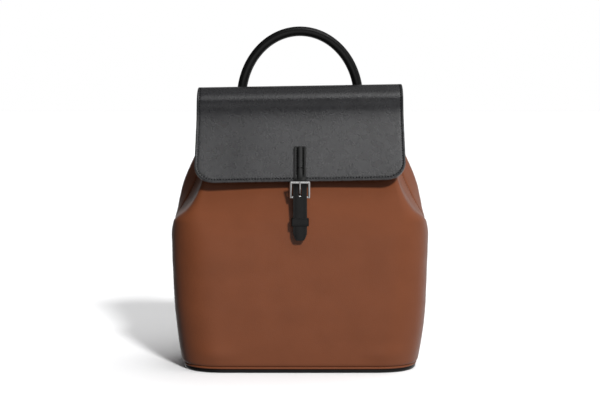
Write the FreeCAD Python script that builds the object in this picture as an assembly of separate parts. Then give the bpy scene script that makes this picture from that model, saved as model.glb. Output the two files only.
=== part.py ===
"""Structured leather backpack, millimetres, +Z up, front towards -Y.

The origin is the middle of the base's underside. The bag is a lofted leather shell with a narrow mouth,
a flap that folds over it from a yoke on the back, a short buckled strap with a hidden magnetic snap,
a rolled carrying handle and two adjustable shoulder straps.
"""
import FreeCAD
import Part
import math
import os

V = FreeCAD.Vector

# Further than any point of the bag is from the origin: how far cutting shapes reach.
FAR = 400.0

# ---------------------------------------------------------------- leather and board thicknesses
PANEL_THICK = 2.0
LINING_THICK = 0.8
PLY_GAP = 0.3
LINING_GAP = 0.5
LINING_SHORT = 2.0
FLAP_SKIN = 1.4
FLAP_BOARD = 0.5
FLAP_BOARD_INSET = 6.0
FLAP_THICK = 3.0
GLUE_LINE = 0.05
YOKE_THICK = 2.0

# ---------------------------------------------------------------- body of the bag
# One row per level: height, front centre y, front corner, side fold, back corner, back centre y.
# A corner is (x, y, softness), where softness is how far its rounding reaches along each side.
# The front corner is soft below and becomes a sharp fold that runs inwards towards the mouth.
LEVELS = [
    (6.3, -56.5, (123.2, -55.5, 46), (124.0, 0, 8), (123.2, 56.0, 46), 57.0),
    (30, -58.5, (127.0, -57.0, 46), (127.8, 0, 8), (127.0, 57.0, 46), 58.0),
    (70, -60.0, (131.0, -58.5, 46), (131.8, 0, 8), (131.0, 57.0, 46), 58.5),
    (110, -60.5, (132.6, -58.5, 46), (133.6, 0, 8), (132.4, 56.5, 46), 58.0),
    (138, -59.7, (132.8, -57.0, 44), (134.0, 1, 8), (132.5, 56.0, 44), 57.5),
    (153, -58.6, (130.0, -54.5, 34), (133.0, 2, 8), (133.0, 55.0, 38), 57.0),
    (166, -56.8, (114.5, -51.5, 18), (124.5, 3, 10), (134.8, 53.0, 28), 56.5),
    (180, -54.0, (105.5, -48.0, 10), (116.5, 4, 12), (132.5, 51.0, 26), 56.0),
    (195, -50.0, (99.8, -44.0, 7), (108.5, 5, 12), (126.5, 49.0, 24), 55.0),
    (218, -40.0, (95.5, -35.0, 7), (102.0, 6, 12), (119.0, 46.5, 22), 52.5),
    (242, -26.5, (92.0, -22.5, 6), (94.5, 8, 10), (108.5, 43.0, 20), 48.5),
    (266, -14.5, (88.0, -11.5, 5), (88.5, 11, 8), (101.0, 39.0, 18), 43.5),
]
LOFT_SECTIONS = 20
FRONT_SOFTNESS = 60
BACK_SOFTNESS = 30
LOFT_DEGREE = 3
LEAST_SOFTNESS = 1.0
SEAM_Y = 14.0
BINDING_HIGH = 1.6
BINDING_PROUD = 0.5

# ---------------------------------------------------------------- base
BASE_HIGH = 3.9
BASE_CORNER = (121.2, -54.5, 45)
BASE_SIDE = (121.8, 0, 8)
BASE_CROWN = 1.0
BASE_TAPER = 1.0
PIPING_INSET = 0.2
PIPING_RADIUS = 1.1
PIPING_Z = 5.1
BOARD_INSET = 4.0
BOARD_THICK = 1.8

# ---------------------------------------------------------------- inner slip pocket
POCKET_HALF_WIDE = 66.0
POCKET_BACK_Y = 46.0
POCKET_DEEP = 8.0
POCKET_LOW_Z = 120.0
POCKET_HIGH_Z = 212.0
POCKET_WALL = 1.0

# ---------------------------------------------------------------- flap and yoke, as (y, z) side profiles
FLAP_HALF_WIDE = 106.8
FLAP_CORNER_RADIUS = 20.0
FLAP_EDGE_Z = 197.3
FLAP_TRIM = 0.6
HINGE = (34.0, 286.0)
FOLD = (-14.2, 281.9)
CROWN_PROFILE = [(31.9, 287.0), (22.0, 290.4), (9.0, 291.5), (-4.0, 289.2), (-12.4, 283.6)]
FRONT_PROFILE = [
    (-15.4, 279.8), (-18.2, 272.0), (-22.5, 261.0), (-30.0, 246.5),
    (-39.0, 231.0), (-48.5, 215.5), (-59.5, FLAP_EDGE_Z),
]
YOKE_PROFILE = [(52.8, 228.0), (50.1, 240.0), (47.4, 252.0), (45.3, 264.0), (42.5, 274.5), (35.9, 284.4)]

# ---------------------------------------------------------------- magnetic snap behind the closing strap
SNAP_Z = 169.0
SNAP_RADIUS = 5.2
SNAP_POST_RADIUS = 2.0
SNAP_FRONT_Y = -59.9
SNAP_SEAT_Y = -56.6
SNAP_GAP = 0.3
SNAP_POST_LONG = 6.6
SNAP_HOLE_DEEP = 15.0
WASHER_INSET = 5.2
NIB_RADIUS = 2.0
NIB_LONG = 0.8
RECESS_RADIUS = 3.2
WASHER_RADIUS = 4.5
WASHER_THICK = 1.0

# ---------------------------------------------------------------- buckles, in a frame of their own:
# the heel bar lies along X through the origin, the strap comes down from +Z, -Y is outwards.
BAR_RADIUS = 1.3
HEEL_RADIUS = 1.2
PIVOT_CLEARANCE = 0.08
CHAPE_SKIN = 1.0
CHAPE_THICK = 2.2
BUCKLE_HIGH = 15.0
STRAP_BACK_Y = -2.5
STRAP_THICK = 1.6
SIDE_CLEARANCE = 0.8
PRONG_RADIUS = 0.9
PRONG_EYE_RADIUS = 2.2
PRONG_EYE_HALF_WIDE = 1.2
PRONG_OVERHANG = 0.8
SLOT_HALF_WIDE = 1.7
SLOT_LOW_Z = -3.2
HOLE_HALF_WIDE = 1.4
HOLE_LOW_Z = 0.2
HOLE_HIGH_Z = 11.4
HOLE_FRONT_Y = -12.0
HOLE_BACK_Y = 1.0
KEEPER_SKIN = 1.1
KEEPER_ROOM = 0.4
KEEPER_HIGH = 8.1
UPRIGHT = 0.9

# ---------------------------------------------------------------- closing strap
CLOSING_HALF_WIDE = 7.0
HEEL_PLACE = (0.0, -62.0, 180.2)
CLOSING_TIP_BAR_Y = -4.1
CLOSING_PROFILE = [
    (-42.6, 230.6), (-49.0, 220.0), (-55.6, 209.2), (-61.4, 199.7), (-64.0, 193.5), (-65.3, 187.0),
    (-65.3, 180.0), (-65.3, 160.0), (-65.3, 136.8),
]
CLOSING_TIP_Z = 136.8
CLOSING_TIP_HALF_WIDE = 4.4
CLOSING_TAPER_HIGH = 5.0
CLOSING_KEEPER_Z = -24.8
CLOSING_CHAPE_LONG = 34.0

# ---------------------------------------------------------------- rolled handle
HANDLE_RADIUS = 5.2
HANDLE_CORE_RADIUS = 3.0
HANDLE_Y = 52.0
HANDLE_HALF_SPAN = 63.6
HANDLE_SPRING_Z = 280.0
HANDLE_RISE = 72.6
HANDLE_FOOT_Z = 264.0
HANDLE_TAB_HALF_WIDE = 8.0
HANDLE_TAB_PROFILE = [(55.9, 222.0), (54.6, 233.0), (52.2, 245.0), (51.8, 257.0)]
HANDLE_TAB_THICK = 2.4

# ---------------------------------------------------------------- shoulder straps, mirrored left and right
STRAP_TOP = (32.0, 58.5, 236.0)
STRAP_FOOT = (88.0, 65.5, 24.0)
STRAP_END_GAP = 7.0
UPPER_THICK = 3.0
UPPER_PROFILE = [
    (STRAP_END_GAP, 1.0), (16, 10.0), (36, 24.0), (62, 34.0), (84, 36.0), (110, 36.0), (133, 36.0),
]
UPPER_NARROW = 8.0
UPPER_WIDE = 14.0
UPPER_STATIONS = (0, 34, 72, 92, 140)
LOWER_HALF_WIDE = 9.0
LOWER_PROFILE = [
    (95, 40.9), (125, 40.9), (150, 40.9), (166, 39.0), (182, 32.0), (198, 19.0), (212.4, 1.0),
]
SHOULDER_HEEL_S = 139.0
SHOULDER_HEEL_OUT = 37.6
KEEPER_BEHIND = 0.1
SHOULDER_TIP_BAR_Y = -5.7
SHOULDER_KEEPER_Z = -30.0
SHOULDER_CHAPE_LONG = 22.0
ADJUST_HOLE_RADIUS = 1.5
ADJUST_HOLE_PITCH = 11.0
ADJUST_HOLE_COUNT = 3
STRAP_STUB_PROFILE = [(48.9, 262.0), (51.6, 251.0), (55.0, 242.6), (57.8, 239.6)]
STRAP_STUB_HALF_WIDE = 9.0
ANCHOR_OUTLINE = [
    (59.0, 8.0), (59.0, 38.0), (61.0, 38.0), (61.0, 26.0),
    (65.2, 23.6), (65.2, 21.6), (61.6, 19.6), (61.0, 8.0),
]
ANCHOR_HALF_WIDE = 10.0


# ================================================================ general shapes
def unit(x, y):
    """The direction (x, y) with length one."""
    size = math.hypot(x, y)
    return x / size, y / size


def inset(corners, depth):
    """Corner list moved inwards by depth, walls parallel. Corners run anticlockwise seen from above."""
    moved = []
    count = len(corners)
    for i, (x, y, reach) in enumerate(corners):
        before = corners[i - 1]
        after = corners[(i + 1) % count]
        in_x, in_y = unit(x - before[0], y - before[1])
        out_x, out_y = unit(after[0] - x, after[1] - y)
        turn = math.atan2(in_x * out_y - in_y * out_x, in_x * out_x + in_y * out_y)
        normal_x = -in_y - out_y
        normal_y = in_x + out_x
        scale = depth / (1 + in_x * out_x + in_y * out_y)
        new_reach = max(LEAST_SOFTNESS, reach - depth * math.tan(turn / 2))
        moved.append((x + normal_x * scale, y + normal_y * scale, new_reach))
    return moved


def outline(corners, z):
    """Closed wire at height z: straight runs joined by soft corners."""
    count = len(corners)
    starts = []
    ends = []
    for i, (x, y, reach) in enumerate(corners):
        before = corners[i - 1]
        after = corners[(i + 1) % count]
        back_x, back_y = unit(before[0] - x, before[1] - y)
        on_x, on_y = unit(after[0] - x, after[1] - y)
        starts.append(V(x + back_x * reach, y + back_y * reach, z))
        ends.append(V(x + on_x * reach, y + on_y * reach, z))
    edges = []
    for i, (x, y, _) in enumerate(corners):
        bend = Part.BezierCurve()
        bend.setPoles([starts[i], V(x, y, z), ends[i]])
        edges.append(bend.toShape())
        edges.append(Part.makeLine(ends[i], starts[(i + 1) % count]))
    return Part.Wire(edges)


def ring_of(front_y, front, side, back, back_y):
    """The eight corners of a level, anticlockwise from the front centre."""
    right = [front, side, back]
    left = [(-x, y, reach) for x, y, reach in reversed(right)]
    return [(0, front_y, FRONT_SOFTNESS)] + right + [(0, back_y, BACK_SOFTNESS)] + left


def corner_values(row):
    """The eleven shape values of one level, without its height."""
    _, front_y, front, side, back, back_y = row
    return [front_y, *front, *side, *back, back_y]


def slopes(heights, values):
    """Slope at each level for a curve that never overshoots between levels."""
    rises = [(values[i + 1] - values[i]) / (heights[i + 1] - heights[i]) for i in range(len(heights) - 1)]
    middle = [0 if a * b <= 0 else 2 * a * b / (a + b) for a, b in zip(rises, rises[1:])]
    return [rises[0]] + middle + [rises[-1]]


def level_at(z):
    """Corners of the bag's outline at any height, eased smoothly between the levels."""
    heights = [row[0] for row in LEVELS]
    z = min(max(z, heights[0]), heights[-1])
    i = max(k for k in range(len(heights) - 1) if heights[k] <= z)
    step = heights[i + 1] - heights[i]
    t = (z - heights[i]) / step
    eased = []
    for values in zip(*[corner_values(row) for row in LEVELS]):
        slope = slopes(heights, values)
        start = (2 * t ** 3 - 3 * t ** 2 + 1) * values[i] + (t ** 3 - 2 * t ** 2 + t) * step * slope[i]
        end = (3 * t ** 2 - 2 * t ** 3) * values[i + 1] + (t ** 3 - t ** 2) * step * slope[i + 1]
        eased.append(start + end)
    return ring_of(eased[0], eased[1:4], eased[4:7], eased[7:10], eased[10])


def body_loft(depth, low_z, high_z):
    """Solid of the bag's outer shape, inset by depth, from low_z to high_z."""
    step = (high_z - low_z) / (LOFT_SECTIONS - 1)
    wires = []
    for i in range(LOFT_SECTIONS):
        z = low_z + i * step
        wires.append(outline(inset(level_at(z), depth), z))
    return Part.makeLoft(wires, True, False, False, LOFT_DEGREE)


def curve_through(points):
    """Smooth curve through (y, z) points, at x = 0."""
    curve = Part.BSplineCurve()
    curve.interpolate([V(0, y, z) for y, z in points])
    return curve


def offset_points(points, shift):
    """Points moved square to their own smooth curve, to the right of its run, by shift."""
    curve = curve_through(points)
    moved = []
    for y, z in points:
        along = curve.tangent(curve.parameter(V(0, y, z)))[0]
        moved.append((y + along.z * shift, z - along.y * shift))
    return moved


def band(points, near, far, half_wide):
    """Leather ply along a side profile, between two offsets from it, as wide as 2 half_wide."""
    inner = offset_points(points, near)
    outer = offset_points(points, far)
    edges = [
        curve_through(inner).toShape(),
        Part.makeLine(V(0, *inner[-1]), V(0, *outer[-1])),
        curve_through(outer[::-1]).toShape(),
        Part.makeLine(V(0, *outer[0]), V(0, *inner[0])),
    ]
    face = Part.Face(Part.Wire(edges))
    face.translate(V(-half_wide, 0, 0))
    return face.extrude(V(2 * half_wide, 0, 0))


def box(x0, x1, y0, y1, z0, z1):
    """Box between two corners."""
    return Part.makeBox(x1 - x0, y1 - y0, z1 - z0, V(x0, y0, z0))


def rod(radius, start, end):
    """Round bar between two points."""
    run = end - start
    return Part.makeCylinder(radius, run.Length, start, run)


def disc(radius, y0, y1, z):
    """Round disc on the middle plane x = 0, between y0 and y1."""
    return rod(radius, V(0, y0, z), V(0, y1, z))


def placed(shape, placement):
    """Copy of shape, put where the placement says."""
    copy = shape.copy()
    copy.Placement = placement.multiply(copy.Placement)
    return copy


def mirrored(shape):
    """The same shape on the other side of the bag."""
    return shape.mirror(V(0, 0, 0), V(1, 0, 0))


# ================================================================ bag body
def make_shell():
    """Front and back panels: one lofted shell, parted along the side seams."""
    low_z = LEVELS[0][0]
    high_z = LEVELS[-1][0]
    shell = body_loft(0, low_z, high_z).cut(body_loft(PANEL_THICK, low_z, high_z))
    front_half = box(-FAR, FAR, -FAR, SEAM_Y, 0, FAR)
    post_hole = disc(SNAP_POST_RADIUS + PLY_GAP, SNAP_FRONT_Y, SNAP_FRONT_Y + SNAP_HOLE_DEEP, SNAP_Z)
    front = shell.common(front_half).cut(post_hole)
    back = shell.cut(front_half)
    return front, back


def make_lining():
    """Fabric lining that follows the shell, closed at the bottom, with a hole for the snap's post."""
    low_z = LEVELS[0][0]
    high_z = LEVELS[-1][0]
    floor_z = low_z + PLY_GAP + LINING_THICK
    outer_depth = PANEL_THICK + LINING_GAP
    room = box(-FAR, FAR, -FAR, FAR, floor_z, high_z + 1)
    inner = body_loft(outer_depth + LINING_THICK, low_z, high_z).common(room)
    post_hole = disc(WASHER_RADIUS + PLY_GAP, SNAP_FRONT_Y, SNAP_FRONT_Y + SNAP_HOLE_DEEP, SNAP_Z)
    height = box(-FAR, FAR, -FAR, FAR, low_z + PLY_GAP, high_z - LINING_SHORT)
    return body_loft(outer_depth, low_z, high_z).cut(inner).common(height).cut(post_hole)


def make_binding():
    """Folded leather rim that covers the cut edge of the mouth."""
    low_z = LEVELS[-1][0] + GLUE_LINE
    ring = level_at(low_z)
    rise = V(0, 0, BINDING_HIGH)
    outer = Part.Face(outline(inset(ring, -BINDING_PROUD), low_z)).extrude(rise)
    inner = Part.Face(outline(inset(ring, PANEL_THICK + BINDING_PROUD), low_z)).extrude(rise)
    return outer.cut(inner)


def base_ring():
    """The eight corners of the base's outline."""
    x, y, reach = BASE_CORNER
    return ring_of(y - BASE_CROWN, BASE_CORNER, BASE_SIDE, (x, -y, reach), BASE_CROWN - y)


def make_base():
    """Black base panel, the board inside it, and the rolled piping in the seam above it."""
    lower = outline(inset(base_ring(), BASE_TAPER), 0)
    upper = outline(base_ring(), BASE_HIGH)
    panel = Part.makeLoft([lower, upper], True, True)
    roll_path = outline(inset(base_ring(), PIPING_INSET), PIPING_Z)
    start = roll_path.Edges[1].valueAt(roll_path.Edges[1].FirstParameter)
    heading = roll_path.Edges[1].tangentAt(roll_path.Edges[1].FirstParameter)
    circle = Part.Wire(Part.makeCircle(PIPING_RADIUS, start, heading))
    path = Part.Wire(roll_path.Edges[1:] + roll_path.Edges[:1])
    piping = path.makePipeShell([circle], True, True)
    board_ring = outline(inset(base_ring(), BOARD_INSET), BASE_HIGH + GLUE_LINE)
    board = Part.Face(board_ring).extrude(V(0, 0, BOARD_THICK))
    return panel, piping, board


def make_pocket():
    """Open-topped slip pocket that hangs inside, against the back."""
    front_y = POCKET_BACK_Y - POCKET_DEEP
    outer = box(-POCKET_HALF_WIDE, POCKET_HALF_WIDE, front_y, POCKET_BACK_Y, POCKET_LOW_Z, POCKET_HIGH_Z)
    half_wide = POCKET_HALF_WIDE - POCKET_WALL
    inner = box(
        -half_wide, half_wide, front_y + POCKET_WALL, POCKET_BACK_Y - POCKET_WALL,
        POCKET_LOW_Z + POCKET_WALL, POCKET_HIGH_Z + POCKET_WALL,
    )
    return outer.cut(inner)


def make_snap():
    """Magnetic snap: socket and washer on the front panel, stud on the back of the chape."""
    socket = disc(SNAP_RADIUS, SNAP_FRONT_Y, SNAP_SEAT_Y, SNAP_Z)
    post = disc(SNAP_POST_RADIUS, SNAP_SEAT_Y, SNAP_SEAT_Y + SNAP_POST_LONG, SNAP_Z)
    recess = disc(RECESS_RADIUS, SNAP_FRONT_Y, SNAP_FRONT_Y + NIB_LONG + PLY_GAP, SNAP_Z)
    washer_y = SNAP_SEAT_Y + WASHER_INSET
    washer = disc(WASHER_RADIUS, washer_y, washer_y + WASHER_THICK, SNAP_Z)
    washer = washer.cut(disc(SNAP_POST_RADIUS + GLUE_LINE, washer_y, washer_y + WASHER_THICK, SNAP_Z))
    stud_front_y = HEEL_PLACE[1] + GLUE_LINE
    stud_back_y = SNAP_FRONT_Y - SNAP_GAP
    stud = disc(SNAP_RADIUS, stud_front_y, stud_back_y, SNAP_Z)
    nib = disc(NIB_RADIUS, stud_back_y, stud_back_y + NIB_LONG, SNAP_Z)
    return socket.fuse(post).cut(recess), washer, stud.fuse(nib)


# ================================================================ flap
def flap_cutter():
    """Prism along Y with the flap's plan: straight sides and rounded lower corners."""
    half = FLAP_HALF_WIDE
    low = FLAP_EDGE_Z - FLAP_TRIM
    high = FAR
    radius = FLAP_CORNER_RADIUS
    round_off = radius * math.sqrt(0.5)
    left_low = V(radius - half, 0, low)
    right_low = V(half - radius, 0, low)
    right_up = V(half, 0, low + radius)
    left_up = V(-half, 0, low + radius)
    right_mid = V(half - radius + round_off, 0, low + radius - round_off)
    left_mid = V(-half + radius - round_off, 0, low + radius - round_off)
    edges = [
        Part.makeLine(left_low, right_low),
        Part.Arc(right_low, right_mid, right_up).toShape(),
        Part.makeLine(right_up, V(half, 0, high)),
        Part.makeLine(V(half, 0, high), V(-half, 0, high)),
        Part.makeLine(V(-half, 0, high), left_up),
        Part.Arc(left_up, left_mid, left_low).toShape(),
    ]
    face = Part.Face(Part.Wire(edges))
    face.translate(V(0, -FAR, 0))
    return face.extrude(V(0, FAR, 0))


def flap_plies(profile):
    """Outer leather, board and lining of one stretch of the flap, in that order."""
    outside = FLAP_THICK / 2
    skin_inside = outside - FLAP_SKIN
    board_inside = skin_inside - FLAP_BOARD
    skin = band(profile, skin_inside, outside, FLAP_HALF_WIDE)
    board = band(profile, board_inside, skin_inside - GLUE_LINE, FLAP_HALF_WIDE - FLAP_BOARD_INSET)
    lining = band(profile, -outside, board_inside - GLUE_LINE, FLAP_HALF_WIDE)
    return skin, board, lining


def make_flap():
    """Crown over the mouth, and the front leaf that hangs over the bag's face."""
    crown_skin, _, crown_lining = flap_plies(CROWN_PROFILE)
    skin, board, lining = flap_plies(FRONT_PROFILE)
    cutter = flap_cutter()
    half_wide = FLAP_HALF_WIDE - FLAP_BOARD_INSET
    board_room = box(-half_wide, half_wide, -FAR, 0, FLAP_EDGE_Z + FLAP_CORNER_RADIUS, FAR)
    return crown_skin, crown_lining, skin.common(cutter), board.common(board_room), lining.common(cutter)


def make_yoke():
    """Black leather yoke on the back, which carries the flap, handle and shoulder straps."""
    return band(YOKE_PROFILE, -YOKE_THICK / 2, YOKE_THICK / 2, FLAP_HALF_WIDE)


# ================================================================ buckles
def make_chape(half_wide, long):
    """Leather folded round the heel bar, slotted in the middle for the prong."""
    eye_radius = HEEL_RADIUS + PIVOT_CLEARANCE + CHAPE_SKIN
    eye = rod(eye_radius, V(-half_wide, 0, 0), V(half_wide, 0, 0))
    leaf = box(-half_wide, half_wide, -CHAPE_THICK, 0, -long, 0)
    bore = rod(HEEL_RADIUS + PIVOT_CLEARANCE, V(-half_wide, 0, 0), V(half_wide, 0, 0))
    slot = box(-SLOT_HALF_WIDE, SLOT_HALF_WIDE, -eye_radius, eye_radius, SLOT_LOW_Z, eye_radius)
    return eye.fuse(leaf).cut(bore).cut(slot)


def make_frame(half_wide, tip_bar_y):
    """Rectangular metal frame: thin heel bar, thicker sides and tip bar."""
    side_x = half_wide + SIDE_CLEARANCE + BAR_RADIUS
    heel_right = V(side_x, 0, 0)
    heel_left = V(-side_x, 0, 0)
    tip_right = V(side_x, tip_bar_y, BUCKLE_HIGH)
    tip_left = V(-side_x, tip_bar_y, BUCKLE_HIGH)
    frame = rod(HEEL_RADIUS, heel_left, heel_right)
    for start, end in ((heel_right, tip_right), (tip_right, tip_left), (tip_left, heel_left)):
        frame = frame.fuse(rod(BAR_RADIUS, start, end))
    for corner in (heel_right, tip_right, tip_left, heel_left):
        frame = frame.fuse(Part.makeSphere(BAR_RADIUS, corner))
    return frame.removeSplitter()


def make_prong(tip_bar_y):
    """Prong: an eye round the heel bar and a round finger that rests on the tip bar."""
    rest = BAR_RADIUS + PRONG_RADIUS + PIVOT_CLEARANCE
    reach = math.hypot(tip_bar_y, BUCKLE_HIGH)
    lean = math.atan2(-tip_bar_y, BUCKLE_HIGH) + math.asin(rest / reach)
    line = V(0, -math.sin(lean), math.cos(lean))
    half_thick = PRONG_EYE_HALF_WIDE
    eye = rod(PRONG_EYE_RADIUS, V(-half_thick, 0, 0), V(half_thick, 0, 0))
    root = line * HEEL_RADIUS
    tip = line * (reach + PRONG_OVERHANG)
    finger = rod(PRONG_RADIUS, root, tip).fuse(Part.makeSphere(PRONG_RADIUS, tip))
    bore = rod(HEEL_RADIUS + PIVOT_CLEARANCE, V(-half_thick, 0, 0), V(half_thick, 0, 0))
    return eye.fuse(finger).cut(bore)


def make_keeper(half_wide, middle_z, back_y):
    """Leather loop round the strap and what lies behind it, as far back as back_y."""
    low_z = middle_z - KEEPER_HIGH / 2
    high_z = middle_z + KEEPER_HIGH / 2
    inner_x = half_wide + KEEPER_ROOM * 2
    inner_front = STRAP_BACK_Y - STRAP_THICK - KEEPER_ROOM
    inner_back = back_y + KEEPER_ROOM
    outer_x = inner_x + KEEPER_SKIN
    outer = box(-outer_x, outer_x, inner_front - KEEPER_SKIN, inner_back + KEEPER_SKIN, low_z, high_z)
    upright = [e for e in outer.Edges if abs(e.tangentAt(e.FirstParameter).z) > UPRIGHT]
    outer = outer.makeFillet(KEEPER_SKIN, upright)
    return outer.cut(box(-inner_x, inner_x, inner_front, inner_back, low_z, high_z))


def strap_hole():
    """Slot that the prong passes through, long enough for the prong's whole swing."""
    middle = (HOLE_LOW_Z + HOLE_HIGH_Z) / 2
    half_long = (HOLE_HIGH_Z - HOLE_LOW_Z) / 2 - HOLE_HALF_WIDE
    slot = box(
        -HOLE_HALF_WIDE, HOLE_HALF_WIDE, HOLE_FRONT_Y, HOLE_BACK_Y, middle - half_long, middle + half_long,
    )
    for end in (middle - half_long, middle + half_long):
        slot = slot.fuse(rod(HOLE_HALF_WIDE, V(0, HOLE_FRONT_Y, end), V(0, HOLE_BACK_Y, end)))
    return slot


def make_closing():
    """Closing strap with its buckle, chape and keeper, at the middle of the flap."""
    spot = FreeCAD.Placement(V(*HEEL_PLACE), FreeCAD.Rotation())
    half = CLOSING_HALF_WIDE
    strap = band(CLOSING_PROFILE, -STRAP_THICK / 2, STRAP_THICK / 2, half).cut(placed(strap_hole(), spot))
    taper = CLOSING_TIP_Z + CLOSING_TAPER_HIGH
    for side in (-1, 1):
        nick = Part.makePolygon([
            V(side * half, -FAR, CLOSING_TIP_Z), V(side * CLOSING_TIP_HALF_WIDE, -FAR, CLOSING_TIP_Z),
            V(side * half, -FAR, taper), V(side * half, -FAR, CLOSING_TIP_Z),
        ])
        strap = strap.cut(Part.Face(nick).extrude(V(0, FAR, 0)))
    chape = placed(make_chape(half, CLOSING_CHAPE_LONG), spot)
    frame = placed(make_frame(half, CLOSING_TIP_BAR_Y), spot)
    prong = placed(make_prong(CLOSING_TIP_BAR_Y), spot)
    keeper = placed(make_keeper(half, CLOSING_KEEPER_Z, 0), spot)
    return strap, chape, frame, prong, keeper


# ================================================================ handle
def handle_tube(radius):
    """Round solid along the handle's line: two upright legs and a half ellipse between them."""
    left_foot = V(-HANDLE_HALF_SPAN, HANDLE_Y, HANDLE_FOOT_Z)
    right_foot = V(HANDLE_HALF_SPAN, HANDLE_Y, HANDLE_FOOT_Z)
    left_spring = V(-HANDLE_HALF_SPAN, HANDLE_Y, HANDLE_SPRING_Z)
    right_spring = V(HANDLE_HALF_SPAN, HANDLE_Y, HANDLE_SPRING_Z)
    centre = V(0, HANDLE_Y, HANDLE_SPRING_Z)
    apex = centre + V(0, 0, HANDLE_RISE)
    ellipse = Part.Ellipse(apex, right_spring, centre)
    arch = Part.Arc(ellipse, ellipse.parameter(left_spring), ellipse.parameter(right_spring)).toShape()
    if arch.valueAt((arch.FirstParameter + arch.LastParameter) / 2).z < centre.z:
        arch = Part.Arc(ellipse, ellipse.parameter(right_spring), ellipse.parameter(left_spring)).toShape()
    path = Part.Wire(Part.sortEdges([
        Part.makeLine(left_foot, left_spring), arch, Part.makeLine(right_spring, right_foot),
    ])[0])
    start = left_foot if path.Vertexes[0].Point.x < 0 else right_foot
    circle = Part.Wire(Part.makeCircle(radius, start, V(0, 0, 1)))
    return path.makePipeShell([circle], True, True)


def make_handle():
    """Leather grip rolled round a cord core, and the flat ends sewn to the yoke."""
    core = handle_tube(HANDLE_CORE_RADIUS)
    grip = handle_tube(HANDLE_RADIUS).cut(handle_tube(HANDLE_CORE_RADIUS + GLUE_LINE))
    tab = band(HANDLE_TAB_PROFILE, -HANDLE_TAB_THICK / 2, HANDLE_TAB_THICK / 2, HANDLE_TAB_HALF_WIDE)
    tab.translate(V(HANDLE_HALF_SPAN, 0, 0))
    return grip, core, tab


# ================================================================ shoulder straps
def strap_placement():
    """Frame of the right strap: X across it, -Y away from the back, Z down along it from its top."""
    top = V(*STRAP_TOP)
    down = (V(*STRAP_FOOT) - top).normalize()
    away = V(0, 1, 0) - down * down.y
    away.normalize()
    across = (away * -1).cross(down)
    rotation = FreeCAD.Rotation(across, away * -1, down, "ZXY")
    return FreeCAD.Placement(top, rotation)


def strap_band(profile, thick, half_wide):
    """Strap ply in the strap's own frame, from (along, away) points."""
    return band([(-away, along) for along, away in profile], -thick / 2, thick / 2, half_wide)


def upper_plan():
    """Prism with the upper strap's plan: narrow at the yoke, wide on the shoulder, narrow at the buckle."""
    half_wides = (UPPER_NARROW, UPPER_WIDE, UPPER_WIDE, LOWER_HALF_WIDE, LOWER_HALF_WIDE)
    stations = list(zip(UPPER_STATIONS, half_wides))
    side = [V(x, -FAR, z) for z, x in stations]
    other = [V(-x, -FAR, z) for z, x in reversed(stations)]
    plan = Part.makePolygon(side + other + [side[0]])
    return Part.Face(plan).extrude(V(0, 2 * FAR, 0))


def make_shoulder():
    """Right shoulder strap: padded upper, punched lower, chape, buckle and keeper."""
    home = strap_placement()
    heel = home.multiply(FreeCAD.Placement(V(0, -SHOULDER_HEEL_OUT, SHOULDER_HEEL_S), FreeCAD.Rotation()))
    half = LOWER_HALF_WIDE
    upper = strap_band(UPPER_PROFILE, UPPER_THICK, UPPER_WIDE).common(upper_plan())
    lower = strap_band(LOWER_PROFILE, STRAP_THICK, half)
    hole = strap_hole()
    hole.translate(V(0, -SHOULDER_HEEL_OUT, SHOULDER_HEEL_S))
    lower = lower.cut(hole)
    for i in range(1, ADJUST_HOLE_COUNT + 1):
        along = SHOULDER_HEEL_S - i * ADJUST_HOLE_PITCH
        lower = lower.cut(rod(ADJUST_HOLE_RADIUS, V(0, -FAR, along), V(0, 0, along)))
    return {
        "shoulder_strap_upper": placed(upper, home),
        "shoulder_strap_lower": placed(lower, home),
        "shoulder_chape": placed(make_chape(half, SHOULDER_CHAPE_LONG), heel),
        "shoulder_buckle_frame": placed(make_frame(half, SHOULDER_TIP_BAR_Y), heel),
        "shoulder_buckle_prong": placed(make_prong(SHOULDER_TIP_BAR_Y), heel),
        "shoulder_keeper": placed(make_keeper(half, SHOULDER_KEEPER_Z, UPPER_THICK + KEEPER_BEHIND), heel),
    }


def make_anchors():
    """Fixed ends of the right strap: the sewn stub on the yoke and the tab at the foot of the back."""
    stub = band(STRAP_STUB_PROFILE, -UPPER_THICK / 2, UPPER_THICK / 2, STRAP_STUB_HALF_WIDE)
    stub.translate(V(STRAP_TOP[0], 0, 0))
    points = [V(STRAP_FOOT[0] - ANCHOR_HALF_WIDE, y, z) for y, z in ANCHOR_OUTLINE]
    tab = Part.Face(Part.makePolygon(points + [points[0]])).extrude(V(2 * ANCHOR_HALF_WIDE, 0, 0))
    return {"shoulder_stub": stub, "shoulder_anchor": tab}


# ================================================================ all nodes
def all_nodes():
    """Every sub-part by name."""
    nodes = {}
    nodes["front_panel"], nodes["back_panel"] = make_shell()
    nodes["lining"] = make_lining()
    nodes["mouth_binding"] = make_binding()
    nodes["base_panel"], nodes["base_piping"], nodes["base_board"] = make_base()
    nodes["inner_pocket"] = make_pocket()
    nodes["snap_socket"], nodes["snap_washer"], nodes["snap_stud"] = make_snap()
    nodes["back_yoke"] = make_yoke()
    flap = make_flap()
    nodes["crown_leather"], nodes["crown_lining"] = flap[:2]
    nodes["flap_leather"], nodes["flap_board"], nodes["flap_lining"] = flap[2:]
    closing = make_closing()
    nodes["closing_strap"], nodes["buckle_chape"] = closing[:2]
    nodes["buckle_frame"], nodes["buckle_prong"], nodes["strap_keeper"] = closing[2:]
    nodes["handle_grip"], nodes["handle_core"], handle_tab = make_handle()
    pairs = {"handle_tab": handle_tab}
    pairs.update(make_shoulder())
    pairs.update(make_anchors())
    for name, shape in pairs.items():
        nodes[name + "_right"] = shape
        nodes[name + "_left"] = mirrored(shape)
    return nodes


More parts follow.
